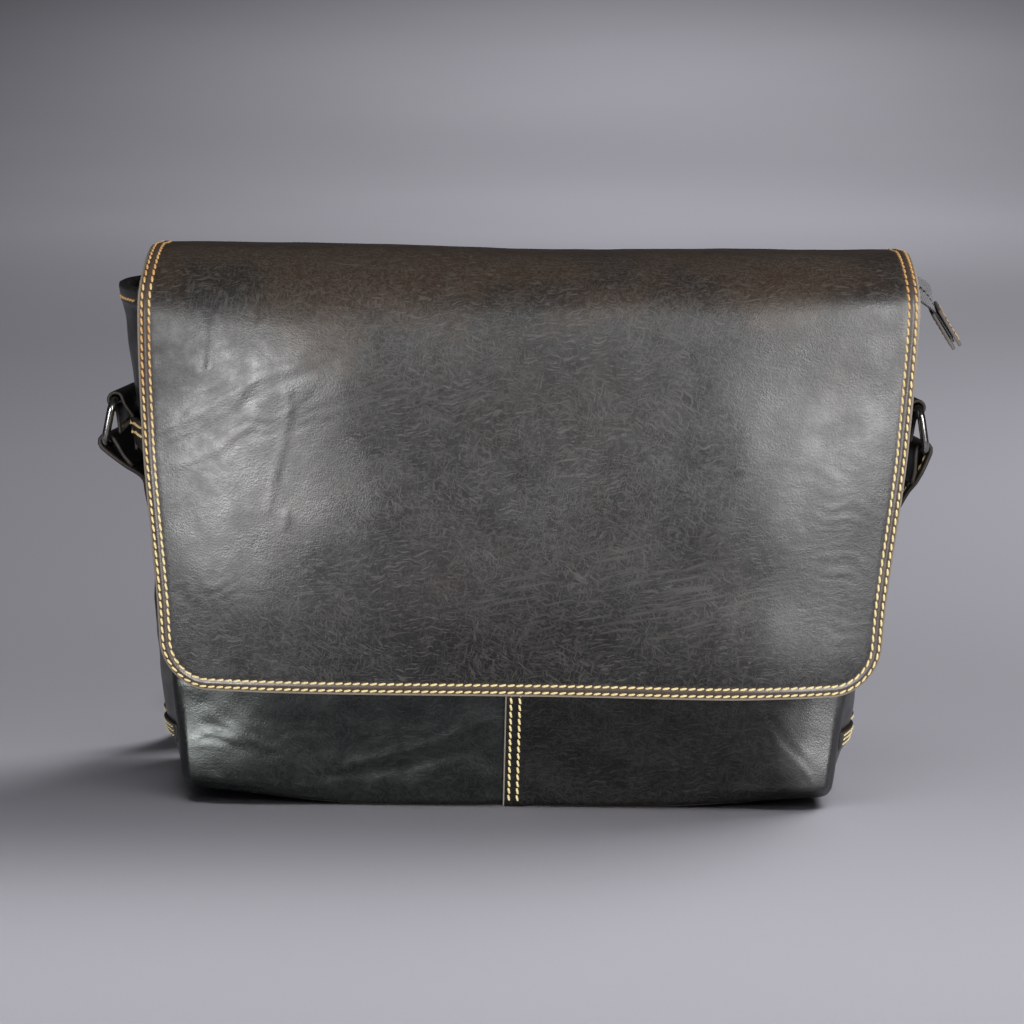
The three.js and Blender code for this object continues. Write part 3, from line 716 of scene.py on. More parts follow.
def thread_look():
    """Waxed thread, cream low on the bag and golden towards its top."""
    g = Graph("thread", Specular_IOR_Level=0.35, Sheen_Weight=0.15)
    up = g.add("SeparateXYZ", {0: g.place}).outputs["Z"]
    uneven = g.math("ADD", up, g.span(g.noise(18, 3), 0.2, 0.8, -0.06, 0.06))
    colour = g.mix(g.span(uneven, 0.14, 0.27), srgb(238, 220, 160), srgb(206, 158, 94))
    fibre = g.noise(0.5, 4, 0.7)
    colour = g.mix(g.span(fibre, 0.3, 0.75, 0.45, 0.0), colour, srgb(104, 74, 44))
    return g.paint(colour, g.span(fibre, 0.2, 0.8, 0.5, 0.75), g.height(fibre, 0.12))


RIB_PITCH = 0.0011
WARP_PITCH = 0.0008


def cloth_look():
    """Grey woven zip tape: ribs across it and two lines of weave along it."""
    g = Graph("zip_cloth", Specular_IOR_Level=0.25, Sheen_Weight=0.3)
    flat = g.add("UVMap", uv_map="flat").outputs["UV"]
    part = g.add("SeparateXYZ", {0: flat})
    rib = g.math("SINE", g.math("MULTIPLY", part.outputs["Y"], 2 * math.pi / RIB_PITCH))
    cross = g.math("SINE", g.math("MULTIPLY", part.outputs["X"], 2 * math.pi / WARP_PITCH))
    weave = g.math("MULTIPLY", g.math("ADD", rib, cross), 0.25)
    speck = g.noise(1.2, 4, 0.7)
    tone = g.math("ADD", g.math("ADD", weave, 0.5), g.math("SUBTRACT", speck, 0.5))
    colour = g.mix(g.span(tone, 0.0, 1.0), srgb(36, 36, 39), srgb(104, 104, 108))
    return g.paint(colour, g.span(speck, 0.2, 0.8, 0.7, 0.9), g.height(weave, 0.25))


def floor_look():
    g = Graph("floor", Specular_IOR_Level=0.2)
    cloud = g.noise(900, 3)
    colour = g.mix(cloud, srgb(177, 176, 185), srgb(183, 182, 190))
    return g.paint(colour, g.span(cloud, 0.2, 0.8, 0.6, 0.7), g.height(g.noise(3), 0.02))


# Colours of leather: dark, warm and veins
FLAP_TONES = (srgb(30, 29, 29), srgb(40, 36, 33), srgb(112, 109, 104))
LEFT_TONES = (srgb(14, 18, 17), srgb(20, 25, 23), srgb(84, 86, 82))
RIGHT_TONES = (srgb(10, 9, 9), srgb(18, 16, 14), srgb(112, 109, 104))
BODY_TONES = (srgb(28, 28, 28), srgb(40, 36, 32), srgb(84, 80, 76))
STRAP_TONES = (srgb(26, 24, 23), srgb(42, 33, 27), srgb(84, 72, 60))
GREENISH = (0.92, 1, 0.97, 1)
look = {
    "flap": leather("leather_flap", *FLAP_TONES, 0.25, 0.34, 0.62, front=True, dull=FLAP_DULL),
    "left": leather("leather_left", *LEFT_TONES, 0.1, 0.29, 0.44, sheen=GREENISH),
    "right": leather("leather_right", *RIGHT_TONES, 0.07, 0.36, 0.22, dull=RIGHT_DULL),
    "body": leather("leather_body", *BODY_TONES, 0.3, 0.36),
    "strap": leather("leather_strap", *STRAP_TONES, 0.3, 0.42),
    "edge": plain_look("cut_edge", srgb(92, 82, 72), srgb(164, 154, 142), 1.4, 0.7, 0.1),
    "strap_edge": plain_look("strap_edge", srgb(20, 17, 15), srgb(46, 36, 28), 1.4, 0.6, 0.1),
    "tab_edge": plain_look("tab_edge", srgb(50, 47, 44), srgb(112, 106, 100), 1.2, 0.7, 0.1),
    "suede": plain_look("suede", srgb(52, 46, 42), srgb(92, 84, 76), 1.1, 0.85, 0.15, Sheen_Weight=0.2),
    "metal": plain_look("gunmetal", srgb(128, 126, 122), srgb(168, 166, 162), 2.5, 0.2, 0.02, Metallic=1),
    "teeth": plain_look("zip_teeth", srgb(58, 56, 54), srgb(104, 100, 96), 1.5, 0.35, 0.03, Metallic=1),
    "thread": thread_look(),
    "cloth": cloth_look(),
    "floor": floor_look(),
}
BODY_LOOKS = [look["body"], look["strap_edge"], look["suede"]]
STRAP_LOOKS = [look["strap"], look["strap_edge"], look["strap"]]


# Flap

FLAP_CREASES = [
    (0.15, 1.7, [(-109.7, 204.4), (-109.1, 196), (-111.8, 181), (-115.9, 164), (-119.1, 148)]),
    (-0.08, 2.6, [(-105.5, 204), (-105, 196), (-107.8, 181), (-112, 164)]),
    (-0.16, 2.0, [(-172.7, 174), (-145.3, 188), (-128.5, 200.8), (-109.3, 211), (-87.6, 218.5)]),
    (0.2, 2.2, [(-176.7, 183), (-152.7, 194), (-137.3, 204), (-122.9, 213), (-90, 224)]),
    (0.16, 2.0, [(-164.4, 168), (-142.8, 178), (-126, 191)]),
    (0.22, 1.8, [(-144.5, 262), (-144.7, 252), (-146.9, 230), (-148, 215)]),
    (-0.18, 1.8, [(-151, 258), (-150.4, 237), (-151, 217)]),
    (0.3, 1.6, [(-109.8, 146.6), (-110.2, 140.6)]),
]
# Patches of wrinkles: middle, spread, direction, wavelength and height
FLAP_WRINKLES = [
    (163, 118, 24, 36, -10, 5.2, 0.07),
    (150, 160, 26, 26, -14, 6.0, 0.05),
    (-150, 107, 30, 9, 2, 5.0, 0.08),
    (-134, 198, 42, 18, 27, 8.5, 0.1),
    (-142, 240, 20, 26, 88, 7.5, 0.1),
    (-60, 236, 55, 18, 70, 7.0, 0.05),
    (60, 110, 80, 30, 20, 9.0, 0.02),
    (-100, 130, 40, 40, 60, 9.0, 0.02),
]
# Where the filling pushes the flap out: middle, spread and height
FLAP_FILLING = [
    (-78, 170, 52, 75, 3.2),
    (-90, 226, 70, 40, 5.0),
    (96, 165, 54, 90, 3.0),
    (118, 66, 58, 46, 4.6),
    (-30, 110, 90, 45, 0.8),
    (-140, 104, 46, 32, 1.6),
]
FLAP_SWELL = ((0.2, 75, 3), (0.06, 26, 4))
FLAP_SEED = 5
FLAP_GROOVES = ((0.3, 3.3, 1.3), (-0.3, FLAP_ROWS[0], 0.7), (-0.3, FLAP_ROWS[1], 0.8))
FLAP_DEEPEST = -0.55
FLAP_RIM_WEAR = 0.5
FLAP_WEAR_RUN = (0, 1.6)
FLAP_SWELL_RUN = (0, 24)
FLAP_FOLDS_RUN = (2, 12)
FLAP_FOLDS_END = (90, 140)
# Grid steps of the flap: beside its rows of stitches, across, up the front, round the bend and behind
FLAP_STEPS = (1.8, 1.75, 1.7, 1.9, 4.5)
REAR_ROWS = (3, 7)
REAR_ROW_INSET = 10
SIDE_ROW_END = 4


def flap_face(grid_x, grid_v):
    """The flap's middle surface by the grid's place across and distance up from its lower edge."""
    lay = LAY_GAP + LEATHER / 2
    front_y = lambda x, z: front_face(x / widen(z), z, seam=0.0) - lay
    rear_bend = FLAP_TOP - FLAP_REAR_BEND
    top_y = body("half_depth", rear_bend) + lay - FLAP_REAR_BEND
    spot, v = rounded(grid_x, grid_v, FLAP_GRID_HALF, FLAP_CORNER)[:2]
    share = spot / FLAP_GRID_HALF
    sag = FLAP_TOP_SAG * (1 - share**2)
    rise = FLAP_TOP - FLAP_SHOULDER - FLAP_BOTTOM
    turn = np.clip((v - rise) / FLAP_BEND_RUN, 0, 1) ** FLAP_BEND_EASE * math.pi / 2
    low = FLAP_BOTTOM + np.minimum(v, rise)
    climb = np.sin(turn) ** (1 / FLAP_BEND_EASE)
    x = FLAP_SHIFT + share * at_height(FLAP_WIDTHS, "half", low + FLAP_SHOULDER * climb)
    z = low + (FLAP_SHOULDER - sag) * climb
    y = front_y(x, z) + FLAP_FRONT_BEND * (1 - np.cos(turn))
    beyond = v - rise - FLAP_BEND_RUN
    y = y + (top_y - y) * np.clip(beyond / FLAP_TOP_RUN, 0, 1)
    z = z - FLAP_REAR_DROP * ease(beyond, FLAP_DROP_FROM, FLAP_TOP_RUN)
    turn = np.clip((beyond - FLAP_TOP_RUN) / FLAP_REAR_BEND, 0, math.pi / 2)
    y = y + FLAP_REAR_BEND * np.sin(turn)
    z = z - (FLAP_REAR_BEND - FLAP_REAR_DROP - sag) * (1 - np.cos(turn))
    down = np.maximum(0, beyond - FLAP_TOP_RUN - FLAP_REAR_BEND * math.pi / 2)
    z = z - down
    y = y + np.where(down > 0, body("half_depth", z) - body("half_depth", rear_bend), 0)
    return np.stack([x, y, z], 2)


FLAP_LENGTH = (
    FLAP_TOP - FLAP_SHOULDER - FLAP_BOTTOM
    + FLAP_BEND_RUN
    + FLAP_TOP_RUN
    + FLAP_REAR_BEND * math.pi / 2
    + FLAP_TOP - FLAP_REAR_BEND - FLAP_HEM
)


def lines_between(start, end, step):
    return np.linspace(start, end, max(2, round(abs(end - start) / step) + 1))


def lines_through(*spans):
    """Grid lines through spans, each a start, an end and a step."""
    return np.concatenate([lines_between(*span) for span in spans])


def make_flap():
    step_edge, step_across, step_up, step_bend, step_rear = FLAP_STEPS
    half, margin = FLAP_GRID_HALF, EDGE_LINES[-1] + step_edge
    inner = lines_between(margin - half, half - margin, step_across)
    across = np.concatenate([EDGE_LINES - half, inner, half - EDGE_LINES[::-1]])
    bend_from = FLAP_TOP - FLAP_SHOULDER - FLAP_BOTTOM
    bend_to = bend_from + FLAP_BEND_RUN
    bend = lines_between(bend_from, bend_to, step_bend)[1:]
    rest = lines_between(bend_to, FLAP_LENGTH - margin, step_rear)[1:]
    up = np.concatenate([lines_between(margin, bend_from, step_up), bend, rest])
    along = np.concatenate([EDGE_LINES, up, FLAP_LENGTH - EDGE_LINES[::-1]])
    grid_x, grid_v = np.meshgrid(across, along)
    face = flap_face(grid_x, grid_v)
    edge = np.minimum(np.minimum(half - np.abs(grid_x), grid_v), FLAP_LENGTH - grid_v)
    x, z = face[..., 0], np.minimum(FLAP_BOTTOM + grid_v, FLAP_TOP)
    on_front = ease(FLAP_LENGTH - grid_v, *FLAP_FOLDS_END) * ease(edge, *FLAP_FOLDS_RUN)
    folds = on_front * creased(x, z, FLAP_CREASES, FLAP_WRINKLES, FLAP_SEED)
    soft = swell(grid_x, grid_v, *FLAP_SWELL) * ease(edge, *FLAP_SWELL_RUN) + folds
    relief = np.maximum(soft, FLAP_DEEPEST) + filled(x, z, FLAP_FILLING) + grooved(edge, FLAP_GROOVES)
    relief = relief - FLAP_RIM_WEAR * (1 - ease(edge, *FLAP_WEAR_RUN))
    patch = Patch(across, along, face, LEATHER, -1, relief + LEATHER / 2, edge)
    piece = shell("flap", patch, [look["flap"], look["edge"], look["suede"]])
    top, far = FLAP_LENGTH - SIDE_ROW_END, half - REAR_ROW_INSET
    around = lambda d: [(d - half, top), (d - half, d), (half - d, d), (half - d, top)]
    rows = [patch.track(around(d)) for d in FLAP_ROWS]
    rows += [patch.track([(-far, FLAP_LENGTH - d), (far, FLAP_LENGTH - d)]) for d in REAR_ROWS]
    sewing = stitching("flap_stitching", rows, FLAP_PITCH)


# Front and back panels

PANEL_CREASES = {
    -1: [
        (0.3, 2.2, [(-77.6, 20.8), (-43.8, 30), (-8, 45)]),
        (0.25, 2.4, [(-150, 36), (-128, 31), (-112, 27)]),
        (-0.3, 2.4, [(-90, 14), (-50, 20), (-20, 28)]),
    ],
    1: [
        (0.2, 1.4, [(122.8, 48.7), (131, 34.1), (138.2, 25.1), (145.3, 17.5), (149.5, 9.9)]),
        (-0.14, 1.6, [(126, 50), (134.2, 36), (141, 27), (148, 19)]),
        (0.1, 1.4, [(129.4, 51.4), (137.4, 37.6), (143.6, 29)]),
        (0.3, 1.0, [(89.4, 35), (87.2, 20)]),
        (0.25, 1.0, [(60, 44), (72, 30)]),
    ],
}
PANEL_WRINKLES = {
    -1: [
        (-135, 36, 26, 12, -18, 9, 0.1),
        (-40, 36, 50, 18, 24, 8, 0.07),
        (-100, 30, 30, 16, 8, 7, 0.06),
    ],
    1: [
        (120, 36, 30, 20, -50, 9, 0.06),
        (50, 34, 45, 20, 30, 10, 0.07),
    ],
}
# Where the filling pushes the front out: middle, spread and height
PANEL_FILLING = {-1: [(-146, 12, 44, 30, 7.0)], 1: [(147, 6, 34, 40, 7.5)]}
PANEL_SWELL = ((0.3, 60, 20), (0.1, 20, 30))
PANEL_SEED = 40
UNDER_SHOULDER = 3.4
SHOULDER_HEIGHTS = (205, 240)
UNDER_FLAP_HEIGHTS = (58, 74)
UNDER_FLAP_FROM = 60
# How far from a panel's sides and lower edge its swellings, its filling and the back's begin
SWELL_RUN = ((1, 16), (1, 14))
FILLING_RUN = ((-1, 6), (-1, 8))
BACK_RUN = ((1, 20), (1, 20))
SEAM_LINES = np.array([0, 0.5, 0.9, 1.4, 2.2, 3.2, 4.3, 5.2, 6.0, 7.2, 9, 11])
EDGE_TURNS = np.radians(np.linspace(90, 0, 12))
EDGE_ZONE = 16
FRONT_EDGE_STEP = 1.2
FRONT_STEP = 1.8
FRONT_INNER = 143.5
FRONT_HEIGHTS = ((17.5, 76, 1.5), (81, FRONT_TOP, 6))
BACK_EDGE_STEP = 2
BACK_STEP = 3.2
BACK_INNER = 141.5
BACK_HEIGHTS = (19, BACK_TOP, 3.4)
SEAM_LAP = 1.6
SEAM_UNDERLAP = 0.6
SEAM_ROWS = (0.9, 5.2)
SEAM_GROOVES = ((-0.3, 2.1, 0.6), (-0.3, 6.8, 0.7))
SEAM_STAND = 2.0
SEAM_STAND_RUN = (7, 15)
SEAM_SWELL_RUN = (4, 14)
SEAM_ENDS = (3, FRONT_TOP - 2)
UNDER_FLAP_SINK = 0.2
BACK_SWELL = ((0.5, 80, 50), (0.15, 24, 51))
BACK_HIGHEST = 0.5


def rolled_face(grid_x, grid_z, facing, face):
    x, z, reach = rounded(grid_x, grid_z, BASE_HALF, CORNER_RADIUS)
    lean = np.clip(1 - (CORNER_RADIUS - reach) / EDGE_ROLL, 0, 1)
    back = EDGE_ROLL * (1 - np.sqrt(1 - lean**2))
    return np.stack([x * widen(z), face(x, z) - facing * back, z], 2)


def edge_columns(step):
    """Grid lines near a rolled edge, from the edge inwards, close together where it turns."""
    inner = lines_between(EDGE_ROLL + step, EDGE_ZONE, step)
    return np.concatenate([EDGE_ROLL * (1 - np.sin(EDGE_TURNS)), inner])


def from_rim(grid_x, grid_z, across, up):
    """From 0 at a panel's sides and lower edge to 1 inside, over these distances."""
    return ease(BASE_HALF - np.abs(grid_x), *across) * ease(grid_z, *up)


def make_front(side, name):
    rolled = edge_columns(FRONT_EDGE_STEP)
    seam = SEAM_LINES + SEAM_GAP / 2 - (SEAM_LAP if side > 0 else -SEAM_UNDERLAP)
    inner = lines_between(seam[-1] + FRONT_STEP, FRONT_INNER, FRONT_STEP)
    columns = np.concatenate([seam, inner, BASE_HALF - rolled[::-1]])
    across = columns if side > 0 else -columns[::-1]
    low = np.concatenate([rolled, lines_through(*FRONT_HEIGHTS)])
    grid_x, grid_z = np.meshgrid(across, low)
    face = rolled_face(grid_x, grid_z, -1, front_face)
    x, z = face[..., 0], face[..., 2]
    folds = creased(x, z, PANEL_CREASES[side], PANEL_WRINKLES[side], PANEL_SEED + side)
    soft = swell(x, z, *((height, wavelength, seed + side) for height, wavelength, seed in PANEL_SWELL))
    relief = from_rim(grid_x, grid_z, *SWELL_RUN) * (soft + folds)
    relief = relief + from_rim(grid_x, grid_z, *FILLING_RUN) * filled(x, z, PANEL_FILLING[side])
    sunk = np.where(z > UNDER_FLAP_FROM, UNDER_FLAP_SINK, 0)
    relief = relief * (1 - ease(z, *UNDER_FLAP_HEIGHTS)) - sunk
    if side > 0:
        from_seam = grid_x + SEAM_LAP
        lap = SEAM_STAND * (1 - ease(from_seam, *SEAM_STAND_RUN)) + grooved(from_seam, SEAM_GROOVES)
        relief = relief * ease(from_seam, *SEAM_SWELL_RUN) + lap
    relief = relief - UNDER_SHOULDER * ease(z, *SHOULDER_HEIGHTS)
    patch = Patch(across, low, face, LEATHER, -1, relief)
    looks = [look["right" if side > 0 else "left"], look["edge"], look["suede"]]
    shell(name, patch, looks, rim=(0, 1, 1, 1))
    return patch


def make_panels():
    make_front(-1, "front_panel_left")
    right = make_front(1, "front_panel_right")
    rows = [right.track([(at, end) for end in SEAM_ENDS]) for at in SEAM_ROWS]
    stitching("centre_seam_stitching", rows, SEAM_PITCH)
    rolled = edge_columns(BACK_EDGE_STEP)
    inner = lines_between(-BACK_INNER, BACK_INNER, BACK_STEP)
    across = np.concatenate([rolled - BASE_HALF, inner, BASE_HALF - rolled[::-1]])
    low = np.concatenate([rolled, lines_between(*BACK_HEIGHTS)])
    grid_x, grid_z = np.meshgrid(across, low)
    face = rolled_face(grid_x, grid_z, 1, lambda x, z: body("half_depth", z) + 0 * x)
    soft = from_rim(grid_x, grid_z, *BACK_RUN) * swell(grid_x, grid_z, *BACK_SWELL)
    relief = np.minimum(soft, BACK_HIGHEST) - UNDER_FLAP_SINK
    shell("back_panel", Patch(across, low, face, LEATHER, 1, relief), BODY_LOOKS)


# Side walls and base

def wall_face(run, across):
    """A wall between the front's and the back's rolled edges; across is 0 at the front and 1 behind."""
    x, z, out_x, out_z = outline(run)
    front = front_face(x, z) + EDGE_ROLL + SEAM_GAP
    back = body("half_depth", z) - EDGE_ROLL - SEAM_GAP
    bow = 1 - (2 * across - 1) ** 2
    fold = bump(across, GUSSET_FOLD_AT, GUSSET_FOLD_SPREAD)
    slack = LEFT_SLACK * (run < 0) * bump(z, LEFT_SLACK_AT, LEFT_SLACK_SPREAD)
    out = (body("gusset_bulge", z) * bow * (1 - slack) - body("gusset_fold", z) * fold) * np.abs(out_x)
    return np.stack([x * widen(z) + out_x * out, front + (back - front) * across, z + out_z * out], 2)


WALL_ACROSS = np.concatenate([[-0.025, -0.01], np.linspace(0.01, 0.99, 58), [1.01, 1.025]])
WALL_STEP = 0.01
LAP_STAND = 2.5
LAP_STAND_AT_TAB = 1.9
LAP_ROWS = (2.2, 6.6)
BASE_LAP = 4.0
BASE_ROWS = (1.8, 4.4, 7.2)
BASE_LAP_HEIGHTS = (BASE_SEAM_HEIGHT - 11, BASE_SEAM_HEIGHT - 3)
BASE_ACROSS = np.linspace(-0.02, 1.02, 40)
BASE_ROW_MARGIN = 0.01
LAP_HEIGHTS = (LAP_SEAM_HEIGHT - 18, LAP_SEAM_HEIGHT - 9)
OVER_TAB_RUN = (TAB_WIDTH / 2 + 0.6, TAB_WIDTH / 2 + 6)
BASE_DIP = 0.9
BASE_DIP_HEIGHTS = (27, 34)
# Where the side walls are soft: height of the lower and the upper one, and share of the depth
LOWER_SOFT = (36, 60, 150, 165)
UPPER_SOFT = (195, 210, 236, 246)
SOFT_ACROSS = (0, 0.15, 0.85, 1)


def wall_row(patch, at, margin=0.02):
    return patch.track([(margin, at), (1 - margin, at)], WALL_STEP)


def lower_gusset(side, name):
    heights = lines_through(
        (BASE_SEAM_HEIGHT - 5, LAP_SEAM_HEIGHT - 24, 2.0),
        (LAP_SEAM_HEIGHT - 22.6, LAP_SEAM_HEIGHT + 2.2, 1.2),
    )
    across, z = np.meshgrid(WALL_ACROSS, heights)
    face = wall_face(side * run_to_height(z), across)
    y = face[..., 1]
    over_tab = 1 - ease(np.abs(y - RING_TOP_BAR[1]), *OVER_TAB_RUN)
    relief = (LAP_STAND + over_tab * LAP_STAND_AT_TAB) * ease(z, *LAP_HEIGHTS)
    relief = relief - BASE_DIP * (1 - ease(z, *BASE_DIP_HEIGHTS))
    soft = swell(y, z, (0.5, 45, 60 + side), (0.15, 15, 62 + side))
    relief = relief + soft * within(z, *LOWER_SOFT) * within(across, *SOFT_ACROSS)
    patch = Patch(WALL_ACROSS, heights, face, LEATHER, -side, relief)
    shell(f"gusset_lower_{name}", patch, BODY_LOOKS)
    return [wall_row(patch, heights[-1] - d) for d in LAP_ROWS]


def upper_gusset(side, name):
    hem_from, sewn_at = GUSSET_TOP - HEM_HEIGHT, GUSSET_TOP - HEM_STITCHES
    heights = lines_through((LAP_SEAM_HEIGHT - 8, hem_from - 0.6, 2.0), (hem_from, GUSSET_TOP, 1.1))
    across, z = np.meshgrid(WALL_ACROSS, heights)
    face = wall_face(side * run_to_height(z), across)
    hem = ease(z, hem_from - 1, hem_from + 0.4)
    soft = swell(face[..., 1], z, (0.6, 40, 70 + side)) * within(z, *UPPER_SOFT)
    groove = HEM_GROOVE * bump(z, sewn_at, HEM_GROOVE_SPREAD)
    relief = HEM_STAND * hem - UPPER_SINK - groove + soft
    patch = Patch(WALL_ACROSS, heights, face, LEATHER + HEM_EXTRA * hem, -side, relief)
    shell(f"gusset_upper_{name}", patch, BODY_LOOKS, rim=(1, 1, 0, 1), roundness=0.45)
    return [wall_row(patch, sewn_at)]


def make_gusset(side, name):
    rows = lower_gusset(side, name) + upper_gusset(side, name)
    stitching(f"gusset_{name}_stitching", rows, SEAM_PITCH)


def make_base():
    end = run_to_height(BASE_SEAM_HEIGHT + BASE_LAP)
    turn = BASE_HALF - CORNER_RADIUS
    side = np.concatenate([lines_between(turn - 6, turn + 18, 1.0)[1:], lines_between(turn + 19, end, 1.0)])
    along = np.concatenate([-side[::-1], lines_between(6 - turn, turn - 6, 5), side])
    across, run = np.meshgrid(BASE_ACROSS, along)
    face = wall_face(run, across)
    lap = (LEATHER - SEAM_GAP) * (np.abs(run) > turn)
    relief = lap * ease(face[..., 2], *BASE_LAP_HEIGHTS)
    patch = Patch(BASE_ACROSS, along, face, LEATHER, -1, relief)
    shell("base_panel", patch, BODY_LOOKS)
    rows = [wall_row(patch, sign * (end - d), BASE_ROW_MARGIN) for sign in (-1, 1) for d in BASE_ROWS]
    stitching("base_stitching", rows, SEAM_PITCH, BASE_THREAD)


# Ribbons: tabs, strap and zip

PATH_SAMPLES = 4000
SHORTEST_STEP = 1e-4


def smooth_path(points):
    """A centripetal curve through points."""
    p = np.array(points, float)
    p = np.concatenate([[2 * p[0] - p[1]], p, [2 * p[-1] - p[-2]]])
    step = np.maximum(((p[1:] - p[:-1]) ** 2).sum(1) ** 0.25, SHORTEST_STEP)
    where = np.linspace(0, len(p) - 3, PATH_SAMPLES)
    i = np.minimum(where.astype(int), len(p) - 4)
    t = (where - i)[:, None]
    a, b, c, d = p[i], p[i + 1], p[i + 2], p[i + 3]
    s, u, v = step[i][:, None], step[i + 1][:, None], step[i + 2][:, None]
    first = u * ((b - a) / s - (c - a) / (s + u) + (c - b) / u)
    second = u * ((c - b) / u - (d - b) / (u + v) + (d - c) / v)
    cubic = 2 * b - 2 * c + first + second
    square = 3 * c - 3 * b - 2 * first - second
    return b + t * (first + t * (square + t * cubic))


def ribbon(stations, width, thickness, step, columns, facing=1, relief=None):
    """A flat band through stations, each a place and the direction of the band's width there."""
    stations = np.array(stations, float)
    centre, wide = smooth_path(stations[:, :3]), smooth_path(stations[:, 3:])
    run = run_along(centre)
    along = lines_between(0, run[-1], step)
    centre, wide = sampled(along, run, centre), sampled(along, run, wide)
    ahead = unit(np.gradient(centre, axis=0))
    wide = unit(wide - ahead * (wide * ahead).sum(1, keepdims=True))
    across = width / 2 * np.sin(np.linspace(-1, 1, columns) * math.pi / 2) * 0.5
    across = across + np.linspace(-width / 4, width / 4, columns)
    face = centre[:, None] + across[:, None] * wide[:, None]
    edge = np.broadcast_to(width / 2 - np.abs(across), face.shape[:2])
    lift = thickness / 2 + (0 if relief is None else relief(edge))
    return Patch(across, along, face, thickness, facing, lift, np.array(edge))


def hung(side, out, along, up):
    """A place on a ring or on what is folded over it, with the bar's direction."""
    x, y, z = RING_TOP_BAR
    cos, sin = math.cos(RING_YAW), math.sin(RING_YAW)
    place = (side * (x + out * cos - along * sin), y + out * sin + along * cos, z + up)
    return (*place, -side * sin, cos, 0)


def make_ring(side, name):
    half = (RING_WIDTH - RING_WIRE) / 2 - RING_CORNER
    low = RING_DROP - RING_CORNER
    corners = [(half, RING_CORNER, -90), (half, low, 0), (-half, low, 90), (-half, RING_CORNER, 180)]
    points = []
    for along, down, start in corners:
        for turn in np.radians(np.linspace(start, start + 90, RING_BENDS)):
            for a in np.arange(RING_SIDES) * 2 * math.pi / RING_SIDES:
                reach = RING_CORNER + RING_WIRE / 2 * math.cos(a)
                off = RING_WIRE / 2 * math.sin(a)
                drop = down + reach * math.sin(turn)
                out = drop * math.sin(RING_LEAN) + off * math.cos(RING_LEAN)
                up = off * math.sin(RING_LEAN) - drop * math.cos(RING_LEAN)
                points.append(hung(side, out, along + reach * math.cos(turn), up)[:3])
    first = np.arange(len(points)).reshape(-1, RING_SIDES)
    after = np.roll(first, -1, axis=0)
    quads = np.stack([first, np.roll(first, -1, 1), np.roll(after, -1, 1), after], 2).reshape(-1, 4)
    looks = [look["metal"]]
    piece = add_mesh(f"ring_{name}_wire", np.array(points), quads.tolist(), looks)
    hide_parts(f"ring_{name}")


def make_tab(side, name):
    wrap = RING_WIRE / 2 + LAY_GAP + TAB_THICKNESS / 2
    y = RING_TOP_BAR[1]

    def leaf(layer, z):
        gusset = BASE_HALF * widen(z) + body("gusset_bulge", z)
        return (side * (gusset + layer + TAB_THICKNESS / 2), y, z, 0, 1, 0)

    turns = np.radians(np.linspace(170, -50, 8))
    fold = [hung(side, wrap * math.cos(a), 0, wrap * math.sin(a)) for a in turns]
    inner = [leaf(SEAM_GAP, z) for z in np.linspace(TAB_INNER_END, TAB_LEAVES_MEET, 4)]
    outer = [leaf(TAB_OVER_LAP, z) for z in np.linspace(TAB_LEAVES_MEET, TAB_OUTER_END, 3)]
    patch = ribbon([*inner, *fold, *outer], TAB_WIDTH, TAB_THICKNESS, step=0.7, columns=24, facing=-side)
    shell(f"ring_tab_{name}", patch, STRAP_LOOKS)
    end, far = patch.along[-1] - TAB_ROW_END, TAB_WIDTH / 2 - TAB_ROW_INSET
    stitching(f"ring_tab_{name}_stitching", [patch.track([(-far, end), (far, end)])], SEAM_PITCH)


def strap_end(first):
    bar = hung(-1, LOWER_BAR[0], 0, LOWER_BAR[1])
    run = unit(np.array([bar[0] - first[0], first[2] - bar[2]]))
    wrap = RING_WIRE / 2 + SEAM_GAP + STRAP_THICKNESS / 2

    def spot(along, off):
        out, up = run * along + np.array([run[1], -run[0]]) * off + LOWER_BAR
        return hung(-1, out, 0, up)

    tail = [spot(along, off) for along, off in STRAP_TAIL]
    over = [spot(-wrap * math.sin(a), wrap * math.cos(a)) for a in np.linspace(0, math.pi, 6)]
    out = [spot(along, -off) for along, off in STRAP_TAIL[:0:-1]]
    return [*tail, *over, *out]


def strap_half(side):
    sway = STRAP_SWAY[side]
    hanging = [(x - side * push, *rest) for (x, *rest), push in zip(STRAP_STATIONS, sway)]
    half = [*strap_end(hanging[0]), *hanging, *STRAP_STATIONS[len(sway):]]
    return [(-side * x, y, z, -side * wx, wy, wz) for x, y, z, wx, wy, wz in half]


def make_strap():
    left, right = strap_half(-1), strap_half(1)[::-1]
    groove = lambda edge: grooved(edge, STRAP_GROOVES) - STRAP_RIM_WEAR * (1 - ease(edge, *STRAP_WEAR_RUN))
    stations = [*left, STRAP_MIDDLE, *right]
    patch = ribbon(stations, STRAP_WIDTH, STRAP_THICKNESS, step=2.0, columns=25, relief=groove)
    shell("shoulder_strap", patch, STRAP_LOOKS)
    far, end = STRAP_WIDTH / 2 - STRAP_ROW, patch.along[-1] - STRAP_SEWN_TO
    under = Patch(patch.across, patch.along, patch.inner, 1, 1)
    under.outer, under.normal = patch.inner, -patch.normal
    sewn = [(face, at) for face in (patch, under) for at in (-far, far)]
    rows = [face.track([(at, STRAP_SEWN_FROM), (at, end)], 1.5) for face, at in sewn]
    stitching("strap_stitching", rows, STRAP_PITCH)


